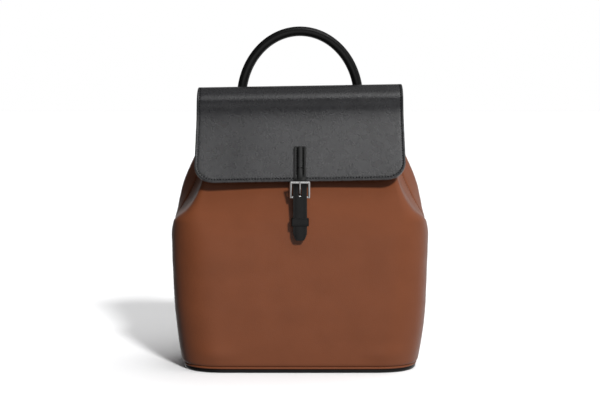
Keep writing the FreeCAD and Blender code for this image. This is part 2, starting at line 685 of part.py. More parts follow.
os.makedirs("parts", exist_ok=True)
for node, solid in all_nodes().items():
    print(f"{node:30s} solids {len(solid.Solids)} valid {solid.isValid()} volume {solid.Volume:.0f}")
    solid.exportStep(f"parts/{node}.step")
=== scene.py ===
import bmesh
import bpy
import json
import math
import numpy as np
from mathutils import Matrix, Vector


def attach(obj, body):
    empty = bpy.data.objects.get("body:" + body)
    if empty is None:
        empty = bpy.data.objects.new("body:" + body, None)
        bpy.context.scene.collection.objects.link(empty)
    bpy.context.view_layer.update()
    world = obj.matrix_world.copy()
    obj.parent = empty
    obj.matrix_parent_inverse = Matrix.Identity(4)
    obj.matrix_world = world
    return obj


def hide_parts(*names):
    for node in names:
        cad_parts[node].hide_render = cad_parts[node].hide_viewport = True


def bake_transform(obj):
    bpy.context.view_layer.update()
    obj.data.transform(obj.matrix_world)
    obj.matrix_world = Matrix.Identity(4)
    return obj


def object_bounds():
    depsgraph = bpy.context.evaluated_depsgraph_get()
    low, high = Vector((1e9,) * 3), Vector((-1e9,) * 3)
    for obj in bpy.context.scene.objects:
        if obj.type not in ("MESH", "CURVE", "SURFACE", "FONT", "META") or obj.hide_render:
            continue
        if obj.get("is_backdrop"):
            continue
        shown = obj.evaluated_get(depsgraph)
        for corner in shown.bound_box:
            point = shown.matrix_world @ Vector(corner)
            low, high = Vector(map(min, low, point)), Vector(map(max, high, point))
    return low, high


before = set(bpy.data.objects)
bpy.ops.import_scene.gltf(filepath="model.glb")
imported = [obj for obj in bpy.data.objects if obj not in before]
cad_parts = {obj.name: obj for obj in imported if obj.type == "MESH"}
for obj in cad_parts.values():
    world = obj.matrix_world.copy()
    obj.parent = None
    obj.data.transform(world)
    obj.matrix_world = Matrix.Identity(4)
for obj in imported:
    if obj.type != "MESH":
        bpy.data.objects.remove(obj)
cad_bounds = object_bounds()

MM = 0.001


# ================================================================ curves and noise
def spline(points, samples):
    """Smooth natural cubic curve through points (any dimension), as evenly spaced samples."""
    points = np.asarray(points, float)
    chord = np.linalg.norm(np.diff(points, axis=0), axis=1)
    knots = np.concatenate([[0], np.cumsum(chord)])
    count = len(points)
    system = np.eye(count)
    right = np.zeros_like(points)
    for i in range(1, count - 1):
        system[i, i - 1] = chord[i - 1]
        system[i, i] = 2 * (chord[i - 1] + chord[i])
        system[i, i + 1] = chord[i]
        right[i] = 6 * ((points[i + 1] - points[i]) / chord[i] - (points[i] - points[i - 1]) / chord[i - 1])
    bend = np.linalg.solve(system, right)
    at = np.linspace(0, knots[-1], max(samples * 4, 200))
    cell = np.clip(np.searchsorted(knots, at, side="right") - 1, 0, count - 2)
    step = chord[cell][:, None]
    ahead = (knots[cell + 1] - at)[:, None]
    behind = (at - knots[cell])[:, None]
    curve = (bend[cell] * ahead ** 3 + bend[cell + 1] * behind ** 3) / (6 * step)
    curve += (points[cell] / step - bend[cell] * step / 6) * ahead
    curve += (points[cell + 1] / step - bend[cell + 1] * step / 6) * behind
    return evenly(curve, samples)


def lengths(points):
    """Distance along a polyline at each of its points."""
    return np.concatenate([[0], np.cumsum(np.linalg.norm(np.diff(points, axis=0), axis=1))])


def evenly(points, samples):
    """The same polyline as evenly spaced samples."""
    run = lengths(points)
    return at_length(points, np.linspace(0, run[-1], samples))


def at_length_by(run, values, where):
    """Values given at distances run, read at other distances."""
    return np.stack([np.interp(where, run, values[:, k]) for k in range(values.shape[1])], axis=-1)


def at_length(points, where):
    """Points at given distances along a polyline."""
    return at_length_by(lengths(points), points, where)


def unit(vectors):
    """Vectors with length one."""
    return vectors / np.maximum(np.linalg.norm(vectors, axis=-1, keepdims=True), 1e-9)


def ease(value, low, high):
    """Smooth step from 0 at low to 1 at high."""
    t = np.clip((value - low) / (high - low), 0, 1)
    return t * t * (3 - 2 * t)


def ripple(points, size, seed, waves=14):
    """Smooth seeded unevenness, about -1 to 1, whose bumps are about size millimetres across."""
    random = np.random.default_rng(seed)
    points = np.asarray(points, float)
    total = np.zeros(points.shape[:-1])
    for _ in range(waves):
        heading = unit(random.normal(size=3))
        pace = 2 * math.pi / (size * random.uniform(0.8, 1.9))
        total += np.sin(points @ heading * pace + random.uniform(0, 6.28))
    return total / math.sqrt(waves)


# ================================================================ meshes
def mesh_object(name, points, faces, materials, face_materials=None, sharp=50):
    """Object from points in millimetres, shaded smooth except along sharp folds."""
    mesh = bpy.data.meshes.new(name)
    mesh.from_pydata((np.asarray(points, float) * MM).tolist(), [], faces)
    for material in materials:
        mesh.materials.append(material)
    if face_materials is not None:
        mesh.polygons.foreach_set("material_index", np.asarray(face_materials, np.int32))
    work = bmesh.new()
    work.from_mesh(mesh)
    bmesh.ops.recalc_face_normals(work, faces=work.faces)
    work.to_mesh(mesh)
    work.free()
    mesh.shade_smooth()
    mesh.set_sharp_from_angle(angle=math.radians(sharp))
    piece = bpy.data.objects.new(name, mesh)
    bpy.context.scene.collection.objects.link(piece)
    return piece


def loft_rings(rings, closed=False):
    """Quads between rings of equal length; ends are capped unless the rings close on themselves."""
    rows, columns = len(rings), len(rings[0])
    faces = []
    for i in range(rows if closed else rows - 1):
        here, there = i * columns, (i + 1) % rows * columns
        for j in range(columns):
            k = (j + 1) % columns
            faces.append((here + j, here + k, there + k, there + j))
    if not closed:
        faces.append(tuple(range(columns)))
        faces.append(tuple(range((rows - 1) * columns, rows * columns))[::-1])
    return np.concatenate([np.asarray(ring, float) for ring in rings]), faces


def grid_faces(index):
    """Quads of a grid of vertex numbers."""
    quads = np.stack([index[:-1, :-1], index[:-1, 1:], index[1:, 1:], index[1:, :-1]], axis=-1)
    return quads.reshape(-1, 4)


def ply(name, outer, inner, materials, sharp=50):
    """Closed leather ply between two grids of points; materials are face, back and cut edge."""
    rows, columns = outer.shape[:2]
    count = rows * columns
    index = np.arange(count).reshape(rows, columns)
    rim = np.concatenate([index[0, :-1], index[:-1, -1], index[-1, :0:-1], index[:0:-1, 0]])
    after = np.roll(rim, -1)
    walls = np.stack([rim, after, after + count, rim + count], axis=-1)
    faces = np.concatenate([grid_faces(index), grid_faces(index + count), walls])
    cells = (rows - 1) * (columns - 1)
    kinds = np.repeat([0, 1, 2], [cells, cells, len(walls)])
    points = np.concatenate([outer.reshape(-1, 3), inner.reshape(-1, 3)])
    return mesh_object(name, points, faces.tolist(), materials, kinds, sharp)


def grid_normals(grid):
    """Unit normals of a grid of points, columns by rows."""
    down = np.gradient(grid, axis=0)
    along = np.gradient(grid, axis=1)
    return unit(np.cross(along, down))


def cut(piece, cutters):
    """Cuts closed cutter meshes out of a piece, with the result applied."""
    for cutter in cutters:
        modifier = piece.modifiers.new("cut", "BOOLEAN")
        modifier.operation = "DIFFERENCE"
        modifier.solver = "EXACT"
        modifier.object = cutter
    bpy.context.view_layer.update()
    shaped = bpy.data.meshes.new_from_object(piece.evaluated_get(bpy.context.evaluated_depsgraph_get()))
    piece.modifiers.clear()
    piece.data = shaped
    for cutter in cutters:
        bpy.data.objects.remove(cutter)


# ================================================================ leather pieces cut from a plan
# A plan has u across and t along. A surface turns (u, t, height above it) into a point in space.
# RIM holds the distances from a piece's edge at which its surface has a row of points.
RIM = [0.0, 0.08, 0.25, 0.5, 0.9, 1.35, 1.8, 2.3, 2.9, 3.5, 4.3]
PAINT_DEPTH = 0.55
STITCH_INSET = 2.9
CREASE_AT = 1.35
CREASE_WIDE = 0.4
CHANNEL_WIDE = 0.7
LIP_AT = 1.4
LIP_HIGH = 1.4
CORNER_ROWS = 13
SQUARE_END = 1.15


def bump_at(distance, middle, wide):
    """Bell-shaped share, 1 at the middle."""
    return np.exp(-((distance - middle) / wide) ** 2)


def width_along(half_wide):
    """Half width as a function of the distance along a piece."""
    return half_wide if callable(half_wide) else lambda along: half_wide


def plan_rows(long, half_wide, top_radius, low_radius, rim, step):
    """Right-hand edge of a plan from its top to its lower end: u, t and outward direction per row."""
    rows = []
    top = float(half_wide(0.0))
    low = float(half_wide(long))
    turns = [(math.cos(turn), math.sin(turn)) for turn in np.linspace(math.pi / 2, 0, CORNER_ROWS)]
    if top_radius:
        for out_u, out_t in turns[:-1]:
            u = top - top_radius + top_radius * out_u
            rows.append((u, top_radius - top_radius * out_t, out_u, -out_t))
    else:
        rows.append((top, 0.0, 1.0, -1.0))
    start = top_radius or rim * SQUARE_END
    end = long - (low_radius or rim * SQUARE_END)
    count = max(4, int((end - start) / step) + 1)
    for along in np.linspace(start, end, count):
        slope = float(half_wide(min(along + 0.5, long))) - float(half_wide(max(along - 0.5, 0)))
        size = math.hypot(1, slope)
        rows.append((float(half_wide(along)), along, 1 / size, -slope / size))
    if low_radius:
        for out_u, out_t in turns[::-1][1:]:
            u = low - low_radius + low_radius * out_u
            rows.append((u, long - low_radius + low_radius * out_t, out_u, out_t))
    else:
        rows.append((low, long, 1.0, 1.0))
    return np.array(rows).T


def plan_loop(rows, columns, rim):
    """The plan's whole edge as (u, t, outward u, outward t), with the top and low edges in columns."""
    u, t, out_u, out_t = rows
    right = np.stack([u, t, out_u, out_t], axis=-1)
    left = right[::-1] * [-1, 1, -1, 1]
    low_end = u[-1] - out_u[-1] * rim
    top_end = u[0] - out_u[0] * rim
    low = [[x, t[-1], 0, 1] for x in np.linspace(low_end, -low_end, columns)[1:-1]]
    top = [[x, t[0], 0, -1] for x in np.linspace(-top_end, top_end, columns)[1:-1]]
    return np.concatenate([right, np.array(low).reshape(-1, 4), left, np.array(top).reshape(-1, 4)])


def cut_piece(name, surface, long, half_wide, thick, materials, top_radius=0, low_radius=0, rim=RIM[-1],
              step=2.0, columns=12, round_edge=0.6, crease=0.2, channel=0.0, relief=None,
              square_top=False, square_low=False):
    """Closed piece of leather with rounded, creased edges. materials are face, back and painted edge."""
    rows = plan_rows(long, width_along(half_wide), top_radius, low_radius, rim, step)
    loop = plan_loop(rows, columns, rim)
    count = len(loop)
    depths = np.array([d for d in RIM if d < rim - 0.2] + [rim])
    kept = np.ones(count)
    if square_top:
        kept = np.minimum(kept, 1 - (loop[:, 3] < -0.5) * 1.0)
    if square_low:
        kept = np.minimum(kept, 1 - (loop[:, 3] > 0.5) * 1.0)
    edge = min(round_edge, thick / 2)
    drop = np.where(depths < edge, edge - np.sqrt(np.maximum(edge ** 2 - (edge - depths) ** 2, 0)), 0)
    lip = LIP_HIGH * bump_at(depths, LIP_AT, CHANNEL_WIDE)
    groove = crease * bump_at(depths, CREASE_AT, CREASE_WIDE)
    groove = groove + channel * (bump_at(depths, STITCH_INSET, CHANNEL_WIDE) - lip)
    half = thick / 2
    rounds = []
    for side in (1, -1):
        for k, depth in enumerate(depths):
            plan = loop[:, :2] - loop[:, 2:] * depth
            fall = kept * (drop[k] + (groove[k] if side > 0 else 0))
            rounds.append(surface(plan[:, 0], plan[:, 1], side * (half - fall)))
    rings = len(depths)
    last = rings - 1
    vertices = [np.concatenate(rounds)]
    faces, kinds = [], []
    order = np.arange(count)
    after = np.roll(order, -1)
    for side in (0, 1):
        for k in range(last):
            base = (side * rings + k) * count
            quads = np.stack([order, after, count + after, count + order], -1)
            faces.append(base + quads)
            painted = depths[k + 1] <= PAINT_DEPTH
            kinds.append(np.where(kept > 0, 2, side) if painted else np.full(count, side))
    wall = rings * count
    faces.append(np.stack([order, after, wall + after, wall + order], -1))
    kinds.append(np.full(count, 2))
    rows_count = rows.shape[1]
    total = 2 * rings * count
    for side in (0, 1):
        base = (side * rings + last) * count
        index = np.full((rows_count, columns), -1)
        index[:, -1] = base + np.arange(rows_count)
        index[-1, 1:-1] = base + rows_count + np.arange(columns - 2)[::-1]
        index[:, 0] = base + rows_count + columns - 2 + np.arange(rows_count)[::-1]
        index[0, 1:-1] = base + 2 * rows_count + columns - 2 + np.arange(columns - 2)
        inner_u = rows[0] - rows[2] * rim
        inner_t = rows[1] - rows[3] * rim
        across = np.linspace(-1, 1, columns)[1:-1]
        plan_u = inner_u[1:-1, None] * across[None, :]
        plan_t = np.repeat(inner_t[1:-1, None], columns - 2, axis=1)
        height = np.full(plan_u.shape, half)
        if relief is not None and side == 0:
            height = height + relief(plan_u, plan_t)
        filled = surface(plan_u, plan_t, height if side == 0 else -height)
        vertices.append(filled.reshape(-1, 3))
        index[1:-1, 1:-1] = total + np.arange(plan_u.size).reshape(plan_u.shape)
        total += plan_u.size
        faces.append(grid_faces(index))
        kinds.append(np.full((rows_count - 1) * (columns - 1), side))
    points = np.concatenate(vertices)
    return mesh_object(name, points, np.concatenate(faces).tolist(), materials, np.concatenate(kinds), 40)


def profile_surface(profile, x=0.0, flip=1):
    """Surface that follows a (y, z) side profile; heights are measured to the right of its run."""
    run = lengths(profile)
    tangent = unit(np.gradient(profile, axis=0))

    def surface(u, t, height):
        """Points at u across, t along and a height above the profile."""
        y = np.interp(t, run, profile[:, 0])
        z = np.interp(t, run, profile[:, 1])
        along_y = np.interp(t, run, tangent[:, 0])
        along_z = np.interp(t, run, tangent[:, 1])
        return np.stack([np.broadcast_to(u, np.shape(y)) + x, y + along_z * height * flip,
                         z - along_y * height * flip], axis=-1)
    return surface


THREAD_PLACES = np.array([-1, -0.93, -0.7, -0.3, 0.3, 0.7, 0.93, 1])
THREAD_LIFTS = np.array([-0.35, -0.22, -0.02, 0.1, 0.1, -0.02, -0.22, -0.35]) / 0.3
THREAD_SIZES = np.array([0.25, 0.7, 0.95, 1, 1, 0.95, 0.7, 0.25])


def stitches(name, surface, path, material, height=0.0, pitch=2.9, long=2.0, radius=0.3):
    """Row of thread stitches along a plan path of (u, t) points, on a surface at a height above it."""
    path = np.asarray(path, float)
    run = lengths(path)[-1]
    count = max(1, int(run / pitch))
    middle = (np.arange(count) + 0.5) * run / count
    where = at_length(path, (middle[:, None] + THREAD_PLACES * long / 2).ravel()).reshape(count, 8, 2)
    lift = np.broadcast_to(height + THREAD_LIFTS * radius, (count, 8))
    spine = surface(where[..., 0], where[..., 1], lift)
    above = surface(where[..., 0], where[..., 1], lift + 0.5)
    up = unit(above - spine)
    ahead = unit(spine[:, 7] - spine[:, 0])[:, None, :]
    aside = unit(np.cross(np.broadcast_to(ahead, up.shape), up))
    turns = (np.arange(6) * math.pi / 3)[:, None]
    around = aside[:, :, None, :] * np.cos(turns) + up[:, :, None, :] * np.sin(turns)
    points = spine[:, :, None, :] + around * (THREAD_SIZES * radius)[:, None, None]
    faces = []
    for base in range(0, count * 48, 48):
        for i in range(7):
            for j in range(6):
                k = (j + 1) % 6
                faces.append((base + i * 6 + j, base + i * 6 + k, base + i * 6 + 6 + k, base + i * 6 + 6 + j))
        faces.append(tuple(base + j for j in range(6)))
        faces.append(tuple(base + 42 + j for j in range(6))[::-1])
    return mesh_object(name, points.reshape(-1, 3), faces, [material], sharp=80)


def edge_path(long, half_wide, depth, top_radius=0, low_radius=0, top=False, low=True):
    """Plan path inside a piece's edge at a depth: down the right side, and round the chosen ends."""
    rows = plan_rows(long, width_along(half_wide), top_radius, low_radius, depth + 0.01, 1.0)
    right = np.stack([rows[0] - rows[2] * depth, rows[1] - rows[3] * depth], axis=-1)
    left = right[::-1] * [-1, 1]
    path = np.concatenate([right, left]) if low else right
    if top:
        path = np.concatenate([path, path[:1]])
    return path


# ================================================================ materials
# Texture scales are in bumps per metre, bump depths in metres.
DYE_SCALE = 38
PATCH_SCALE = 120
SLACK_SCALE = 22
SLACK_DEPTH = 0.00012


def new_material(name):
    """Empty principled material: itself, its node tree and its object coordinates."""
    material = bpy.data.materials.new(name)
    material.use_nodes = True
    tree = material.node_tree
    return material, tree, tree.nodes.new("ShaderNodeTexCoord").outputs["Object"]


def add_node(tree, kind, values, sources, **settings):
    """New shader node with its settings, its input values and its linked inputs."""
    node = tree.nodes.new("ShaderNode" + kind)
    for name, value in settings.items():
        setattr(node, name, value)
    for name, value in values.items():
        node.inputs[name].default_value = value
    for name, source in sources.items():
        tree.links.new(source, node.inputs[name])
    return node


def noise_node(tree, place, scale, detail=3, roughness=0.55):
    """Noise texture's factor, scale in bumps per metre."""
    values = {"Scale": scale, "Detail": detail, "Roughness": roughness}
    return add_node(tree, "TexNoise", values, {"Vector": place}).outputs["Fac"]


def ramp_node(tree, source, low, high, start=0.3, end=0.7):
    """Two-colour ramp driven by a factor."""
    node = add_node(tree, "ValToRGB", {}, {"Fac": source})
    first, last = node.color_ramp.elements
    first.position = start
    first.color = (*low, 1)
    last.position = end
    last.color = (*high, 1)
    return node.outputs["Color"]


def range_node(tree, source, low, high, start=0.25, end=0.75):
    """Factor stretched to a new range."""
    values = {"From Min": start, "From Max": end, "To Min": low, "To Max": high}
    return add_node(tree, "MapRange", values, {"Value": source}).outputs["Result"]


def bump_node(tree, source, strength, distance, before=None):
    """Bump from a height factor, stacked on an earlier bump."""
    sources = {"Height": source}
    if before is not None:
        sources["Normal"] = before
    return add_node(tree, "Bump", {"Strength": strength, "Distance": distance}, sources).outputs["Normal"]


def shade(tree, colour, roughness, grain, **values):
    """Links colour, roughness and grain to a material's shader and sets its other values."""
    shader = tree.nodes["Principled BSDF"]
    for name, source in (("Base Color", colour), ("Roughness", roughness), ("Normal", grain)):
        tree.links.new(source, shader.inputs[name])
    for name, value in values.items():
        shader.inputs[name.replace("_", " ")].default_value = value


def leather(name, dark, light, roughness, pebble, pebble_depth, gloss=0.5, sheen=0.0):
    """Leather with pebbled grain, fine pores and uneven dye. pebble is in pebbles per metre."""
    material, tree, place = new_material(name)
    dye = noise_node(tree, place, DYE_SCALE, 4)
    warp = add_node(tree, "TexNoise", {"Scale": pebble * 0.35}, {"Vector": place})
    bend = add_node(tree, "VectorMath", {1: (0.9 / pebble,) * 3}, {0: warp.outputs["Color"], 2: place},
                    operation="MULTIPLY_ADD")
    cells = add_node(tree, "TexVoronoi", {"Scale": pebble, "Smoothness": 0.5},
                     {"Vector": bend.outputs["Vector"]}, feature="SMOOTH_F1")
    pores = noise_node(tree, place, pebble * 2.6, 3)
    slack = noise_node(tree, place, SLACK_SCALE, 2)
    patches = noise_node(tree, place, PATCH_SCALE, 4)
    grain = bump_node(tree, cells.outputs["Distance"], 0.9, pebble_depth)
    grain = bump_node(tree, pores, 0.5, pebble_depth * 0.35, grain)
    grain = bump_node(tree, slack, 0.3, SLACK_DEPTH, grain)
    rough = range_node(tree, patches, roughness - 0.05, roughness + 0.06)
    shade(tree, ramp_node(tree, dye, dark, light), rough, grain, Specular_IOR_Level=gloss,
          Sheen_Weight=sheen, Sheen_Roughness=0.45)
    return material


def painted_edge(name, colour, roughness):
    """Edge paint: smooth and satin, slightly wavy."""
    material, tree, place = new_material(name)
    tone = noise_node(tree, place, 260, 3)
    waves = noise_node(tree, place, 900, 2)
    light = [c * 1.5 + 0.002 for c in colour]
    rough = range_node(tree, tone, roughness - 0.06, roughness + 0.06)
    shade(tree, ramp_node(tree, tone, colour, light), rough, bump_node(tree, waves, 0.3, 0.0001))
    return material


def thread(name, colour):
    """Twisted sewing thread."""
    material, tree, place = new_material(name)
    twist = add_node(tree, "TexWave", {"Scale": 700, "Distortion": 0.6}, {"Vector": place},
                     bands_direction="DIAGONAL").outputs["Fac"]
    low = [c * 0.6 for c in colour]
    shade(tree, ramp_node(tree, twist, low, colour, 0, 1), range_node(tree, twist, 0.45, 0.6, 0, 1),
          bump_node(tree, twist, 0.6, 0.00012), Specular_IOR_Level=0.12)
    return material


def twill(name, dark, light):
    """Cotton twill: fine diagonal ribs, matt."""
    material, tree, place = new_material(name)
    ribs = add_node(tree, "TexWave", {"Scale": 420, "Distortion": 1.2, "Detail": 2}, {"Vector": place},
                    bands_direction="DIAGONAL")
    slub = noise_node(tree, place, 700, 3)
    both = add_node(tree, "Math", {}, {0: ribs.outputs["Fac"], 1: slub}, operation="MULTIPLY").outputs[0]
    shade(tree, ramp_node(tree, both, dark, light, 0.05, 0.6), range_node(tree, slub, 0.82, 0.95),
          bump_node(tree, both, 0.7, 0.0003), Sheen_Weight=0.25)
    return material


def metal(name):
    """Polished nickel with faint scuffs."""
    material, tree, place = new_material(name)
    scuff = noise_node(tree, place, 450, 5, 0.7)
    colour = ramp_node(tree, scuff, (0.86, 0.855, 0.85), (0.93, 0.93, 0.93))
    shade(tree, colour, range_node(tree, scuff, 0.12, 0.24), bump_node(tree, scuff, 0.15, 0.00008),
          Metallic=1.0)
    return material


def fibre(name, dark, light, scale):
    """Pressed board or cord: matt, flecked."""
    material, tree, place = new_material(name)
    fleck = noise_node(tree, place, scale, 5, 0.7)
    shade(tree, ramp_node(tree, fleck, dark, light), range_node(tree, fleck, 0.8, 0.95),
          bump_node(tree, fleck, 0.5, 0.0002))
    return material


BROWN = leather("brown_leather", (0.146, 0.0440, 0.0175), (0.160, 0.0485, 0.0195),
                0.42, 1500, 0.00006, 0.4, 0.02)
PEBBLED = leather("black_pebbled_leather", (0.008, 0.008, 0.009), (0.013, 0.013, 0.0145),
                  0.26, 980, 0.00019, 1.0)
SMOOTH = leather("black_smooth_leather", (0.003, 0.003, 0.003), (0.006, 0.006, 0.006),
                 0.3, 1900, 0.00004, 0.35)
SUEDE = leather("leather_back", (0.11, 0.05, 0.026), (0.15, 0.07, 0.038),
                0.85, 2400, 0.00006, 0.2, 0.2)
LINER = leather("flap_lining_leather", (0.022, 0.021, 0.021), (0.03, 0.029, 0.029),
                0.6, 2100, 0.00005, 0.35, 0.1)
# Black edge paint, set lighter grey than the black leather as a painted highlight along the rounded leather
# edges.
EDGE_PAINT_AND_HIGHLIGHT = painted_edge("black_edge_paint_and_highlight", (0.05, 0.05, 0.052), 0.28)
STRAP_EDGE = painted_edge("strap_edge_paint", (0.008, 0.008, 0.008), 0.35)
BROWN_EDGE = painted_edge("brown_edge_paint", (0.085, 0.028, 0.013), 0.4)
BLACK_THREAD = thread("black_thread", (0.0012, 0.0012, 0.0012))
BROWN_THREAD = thread("brown_thread", (0.15, 0.055, 0.027))
TWILL = twill("lining_twill", (0.045, 0.036, 0.028), (0.11, 0.09, 0.07))
NICKEL = metal("polished_nickel")
BOARD = fibre("fibre_board", (0.28, 0.23, 0.17), (0.4, 0.34, 0.26), 900)
CORD = fibre("cotton_cord", (0.5, 0.47, 0.4), (0.66, 0.62, 0.54), 1400)


def dress(node, material):
    """Gives a CAD part its material."""
    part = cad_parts[node]
    part.data.materials.clear()
    part.data.materials.append(material)


# ================================================================ body of the bag
# height, front centre y, front corner (x, y, softness), side fold, back corner, back centre y
LEVELS = [
    (6.3, -56.5, (123.2, -55.5, 46), (124.0, 0, 8), (123.2, 56.0, 46), 57.0),
    (30, -58.5, (127.0, -57.0, 46), (127.8, 0, 8), (127.0, 57.0, 46), 58.0),
    (70, -60.0, (131.0, -58.5, 46), (131.8, 0, 8), (131.0, 57.0, 46), 58.5),
    (110, -60.5, (132.6, -58.5, 46), (133.6, 0, 8), (133.0, 56.5, 46), 58.0),
    (138, -59.7, (132.8, -57.0, 44), (134.4, 1, 9), (134.9, 55.3, 42), 57.5),
    (153, -58.6, (130.0, -54.5, 34), (132.0, 2, 9), (136.6, 53.5, 34), 57.0),
    (166, -56.8, (114.5, -51.5, 13), (121.5, 0, 12), (137.6, 51.5, 26), 56.5),
    (180, -54.0, (105.5, -48.0, 7), (111.5, 0, 14), (135.4, 49.5, 22), 56.0),
    (195, -50.0, (99.8, -44.0, 4.5), (103.0, 0, 14), (130.5, 47.0, 19), 55.0),
    (218, -40.0, (95.5, -35.0, 4.5), (95.5, 2, 14), (120.5, 44.5, 19), 52.5),
    (242, -26.5, (92.0, -22.5, 5), (89.5, 7, 12), (108.5, 43.0, 20), 48.5),
    (266, -14.5, (88.0, -11.5, 5), (88.5, 11, 8), (101.0, 39.0, 18), 43.5),
]
FRONT_SOFTNESS = 60
BACK_SOFTNESS = 30
SEAM_Y = 14.0
BODY_LOW = 6.3
BODY_HIGH = 266.0
PANEL_THICK = 2.0
ROLL_HIGH = 4.2
ROLL_DEEP = 1.7
SEAM_DEEP = 0.9
SEAM_STITCH_INSET = 3.4
SEAM_STITCH_DEEP = 0.22
FRONT_COLUMNS = (62, 34)
BACK_COLUMNS = (26, 50)


def level_values(heights):
    """The eleven shape values of the bag's outline at each height, eased between the levels."""
    rows = np.array([[r[0], r[1], *r[2], *r[3], *r[4], r[5]] for r in LEVELS], float)
    z, values = rows[:, 0], rows[:, 1:]
    rise = np.diff(values, axis=0) / np.diff(z)[:, None]
    a, b = rise[:-1], rise[1:]
    with np.errstate(divide="ignore", invalid="ignore"):
        middle = np.where(a * b <= 0, 0, 2 * a * b / np.where(a + b == 0, 1, a + b))
    slope = np.concatenate([rise[:1], middle, rise[-1:]])
    at = np.clip(heights, z[0], z[-1])
    i = np.clip(np.searchsorted(z, at, side="right") - 1, 0, len(z) - 2)
    step = (z[i + 1] - z[i])[:, None]
    t = ((at - z[i])[:, None]) / step
    start = (2 * t ** 3 - 3 * t ** 2 + 1) * values[i] + (t ** 3 - 2 * t ** 2 + t) * step * slope[i]
    return start + (3 * t ** 2 - 2 * t ** 3) * values[i + 1] + (t ** 3 - t ** 2) * step * slope[i + 1]


def half_outline(values):
    """Right half of an outline, from the front centre to the back centre, and where its corners peak."""
    front_y, fx, fy, fs, gx, gy, gs, kx, ky, ks, back_y = values
    corners = [
        (-fx, fy, fs), (0, front_y, FRONT_SOFTNESS), (fx, fy, fs), (gx, gy, gs),
        (kx, ky, ks), (0, back_y, BACK_SOFTNESS), (-kx, ky, ks),
    ]
    points, peaks = [], []
    for i in range(1, 6):
        corner = np.array(corners[i][:2], float)
        reach = corners[i][2]
        start = corner + unit(np.array(corners[i - 1][:2], float) - corner) * reach
        end = corner + unit(np.array(corners[i + 1][:2], float) - corner) * reach
        low, high = (0.5 if i == 1 else 0), (0.5 if i == 5 else 1)
        t = np.linspace(low, high, 25)[:, None]
        peaks.append(len(points) + 12)
        points.extend(((1 - t) ** 2 * start + 2 * t * (1 - t) * corner + t ** 2 * end).tolist())
    return np.array(points), peaks


def stretch(line, first, last, count, toward_end):
    """Resamples a run of a polyline; samples crowd towards its end or its start."""
    run = lengths(line)
    s = np.linspace(0, 1, count)
    s = 1 - (1 - s) ** 1.3 if toward_end else s ** 1.3
    return at_length(line, run[first] + (run[last] - run[first]) * s)


def body_rows(heights):
    """Right half of the body at each height: front grid, centre to seam, and back grid, seam to centre."""
    front, back = [], []
    for values, z in zip(level_values(heights), heights):
        line, peaks = half_outline(values)
        past = int(np.argmax((line[:, 1] > SEAM_Y) & (np.arange(len(line)) > peaks[1])))
        before, after = line[past - 1], line[past]
        share = (SEAM_Y - before[1]) / (after[1] - before[1])
        line = np.insert(line, past, before + (after - before) * share, axis=0)
        one = stretch(line, 0, peaks[1], FRONT_COLUMNS[0], True)
        two = stretch(line, peaks[1], past, FRONT_COLUMNS[1], False)[1:]
        three = stretch(line, past, peaks[3] + 1, BACK_COLUMNS[0], True)
        four = stretch(line, peaks[3] + 1, len(line) - 1, BACK_COLUMNS[1], False)[1:]
        for rows, runs in ((front, (one, two)), (back, (three, four))):
            flat = np.concatenate(runs)
            rows.append(np.column_stack([flat, np.full(len(flat), z)]))
    return np.array(front), np.array(back)


def whole(half, centre_first):
    """Both sides of the bag from its right half."""
    other = half[:, ::-1] * [-1, 1, 1]
    if centre_first:
        return np.concatenate([other[:, :-1], half], axis=1)
    return np.concatenate([half, other[:, 1:]], axis=1)


def body_heights():
    """Heights of the mesh rows: close together at the rolled lower edge and along the folds."""
    low = BODY_LOW + ROLL_HIGH * (1 - np.cos(np.linspace(0, math.pi / 2, 9)))
    high = np.linspace(242.5, BODY_HIGH, 14)
    return np.concatenate([low, np.linspace(12, 130, 60), np.linspace(131.5, 240, 74), high])


def soften(grid, front):
    """Makes the loft hang like leather: rolled lower edge, seam groove, slack and slight unevenness."""
    normal = grid_normals(grid)
    if np.mean(normal[..., 1]) * (-1 if front else 1) < 0:
        normal = -normal
    z = grid[..., 2]
    roll = np.clip((BODY_LOW + ROLL_HIGH - z) / ROLL_HIGH, 0, 1)
    inward = ROLL_DEEP * (1 - np.sqrt(np.maximum(1 - roll ** 2, 0)))
    run = np.linalg.norm(np.diff(grid, axis=1), axis=2)
    from_left = np.concatenate([np.zeros((len(grid), 1)), np.cumsum(run, axis=1)], axis=1)
    from_seam = np.minimum(from_left, from_left[:, -1:] - from_left)
    inward += SEAM_DEEP * bump_at(from_seam, 0, 1.0)
    inward += SEAM_STITCH_DEEP * bump_at(from_seam, SEAM_STITCH_INSET, 0.8)
    slack = ease(z, 6, 40) * (1 - ease(z, 225, 262))
    uneven = 0.55 * ripple(grid, 95, 3 if front else 4) + 0.16 * ripple(grid, 30, 5 if front else 6)
    from_middle = np.abs(grid[..., 0])
    fullness = 0.72 * bump_at(z, 62, 34) * (1 - ease(from_middle, 40, 118))
    corner = 1.5 * bump_at(z, 19, 9) * bump_at(from_middle, 86, 17)
    return grid + normal * (uneven * slack * 0.8 + fullness + corner - inward)[..., None], normal


heights = body_heights()
front_half, back_half = body_rows(heights)
panels = {}
for side, half in (("front", front_half), ("back", back_half)):
    grid = whole(half, side == "front")
    skin, normal = soften(grid, side == "front")
    panels[side] = skin, normal
    panel = ply(side + "_panel_leather", skin, skin - normal * PANEL_THICK, [BROWN, SUEDE, BROWN_EDGE], 60)
    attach(panel, "bag")
    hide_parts(side + "_panel")


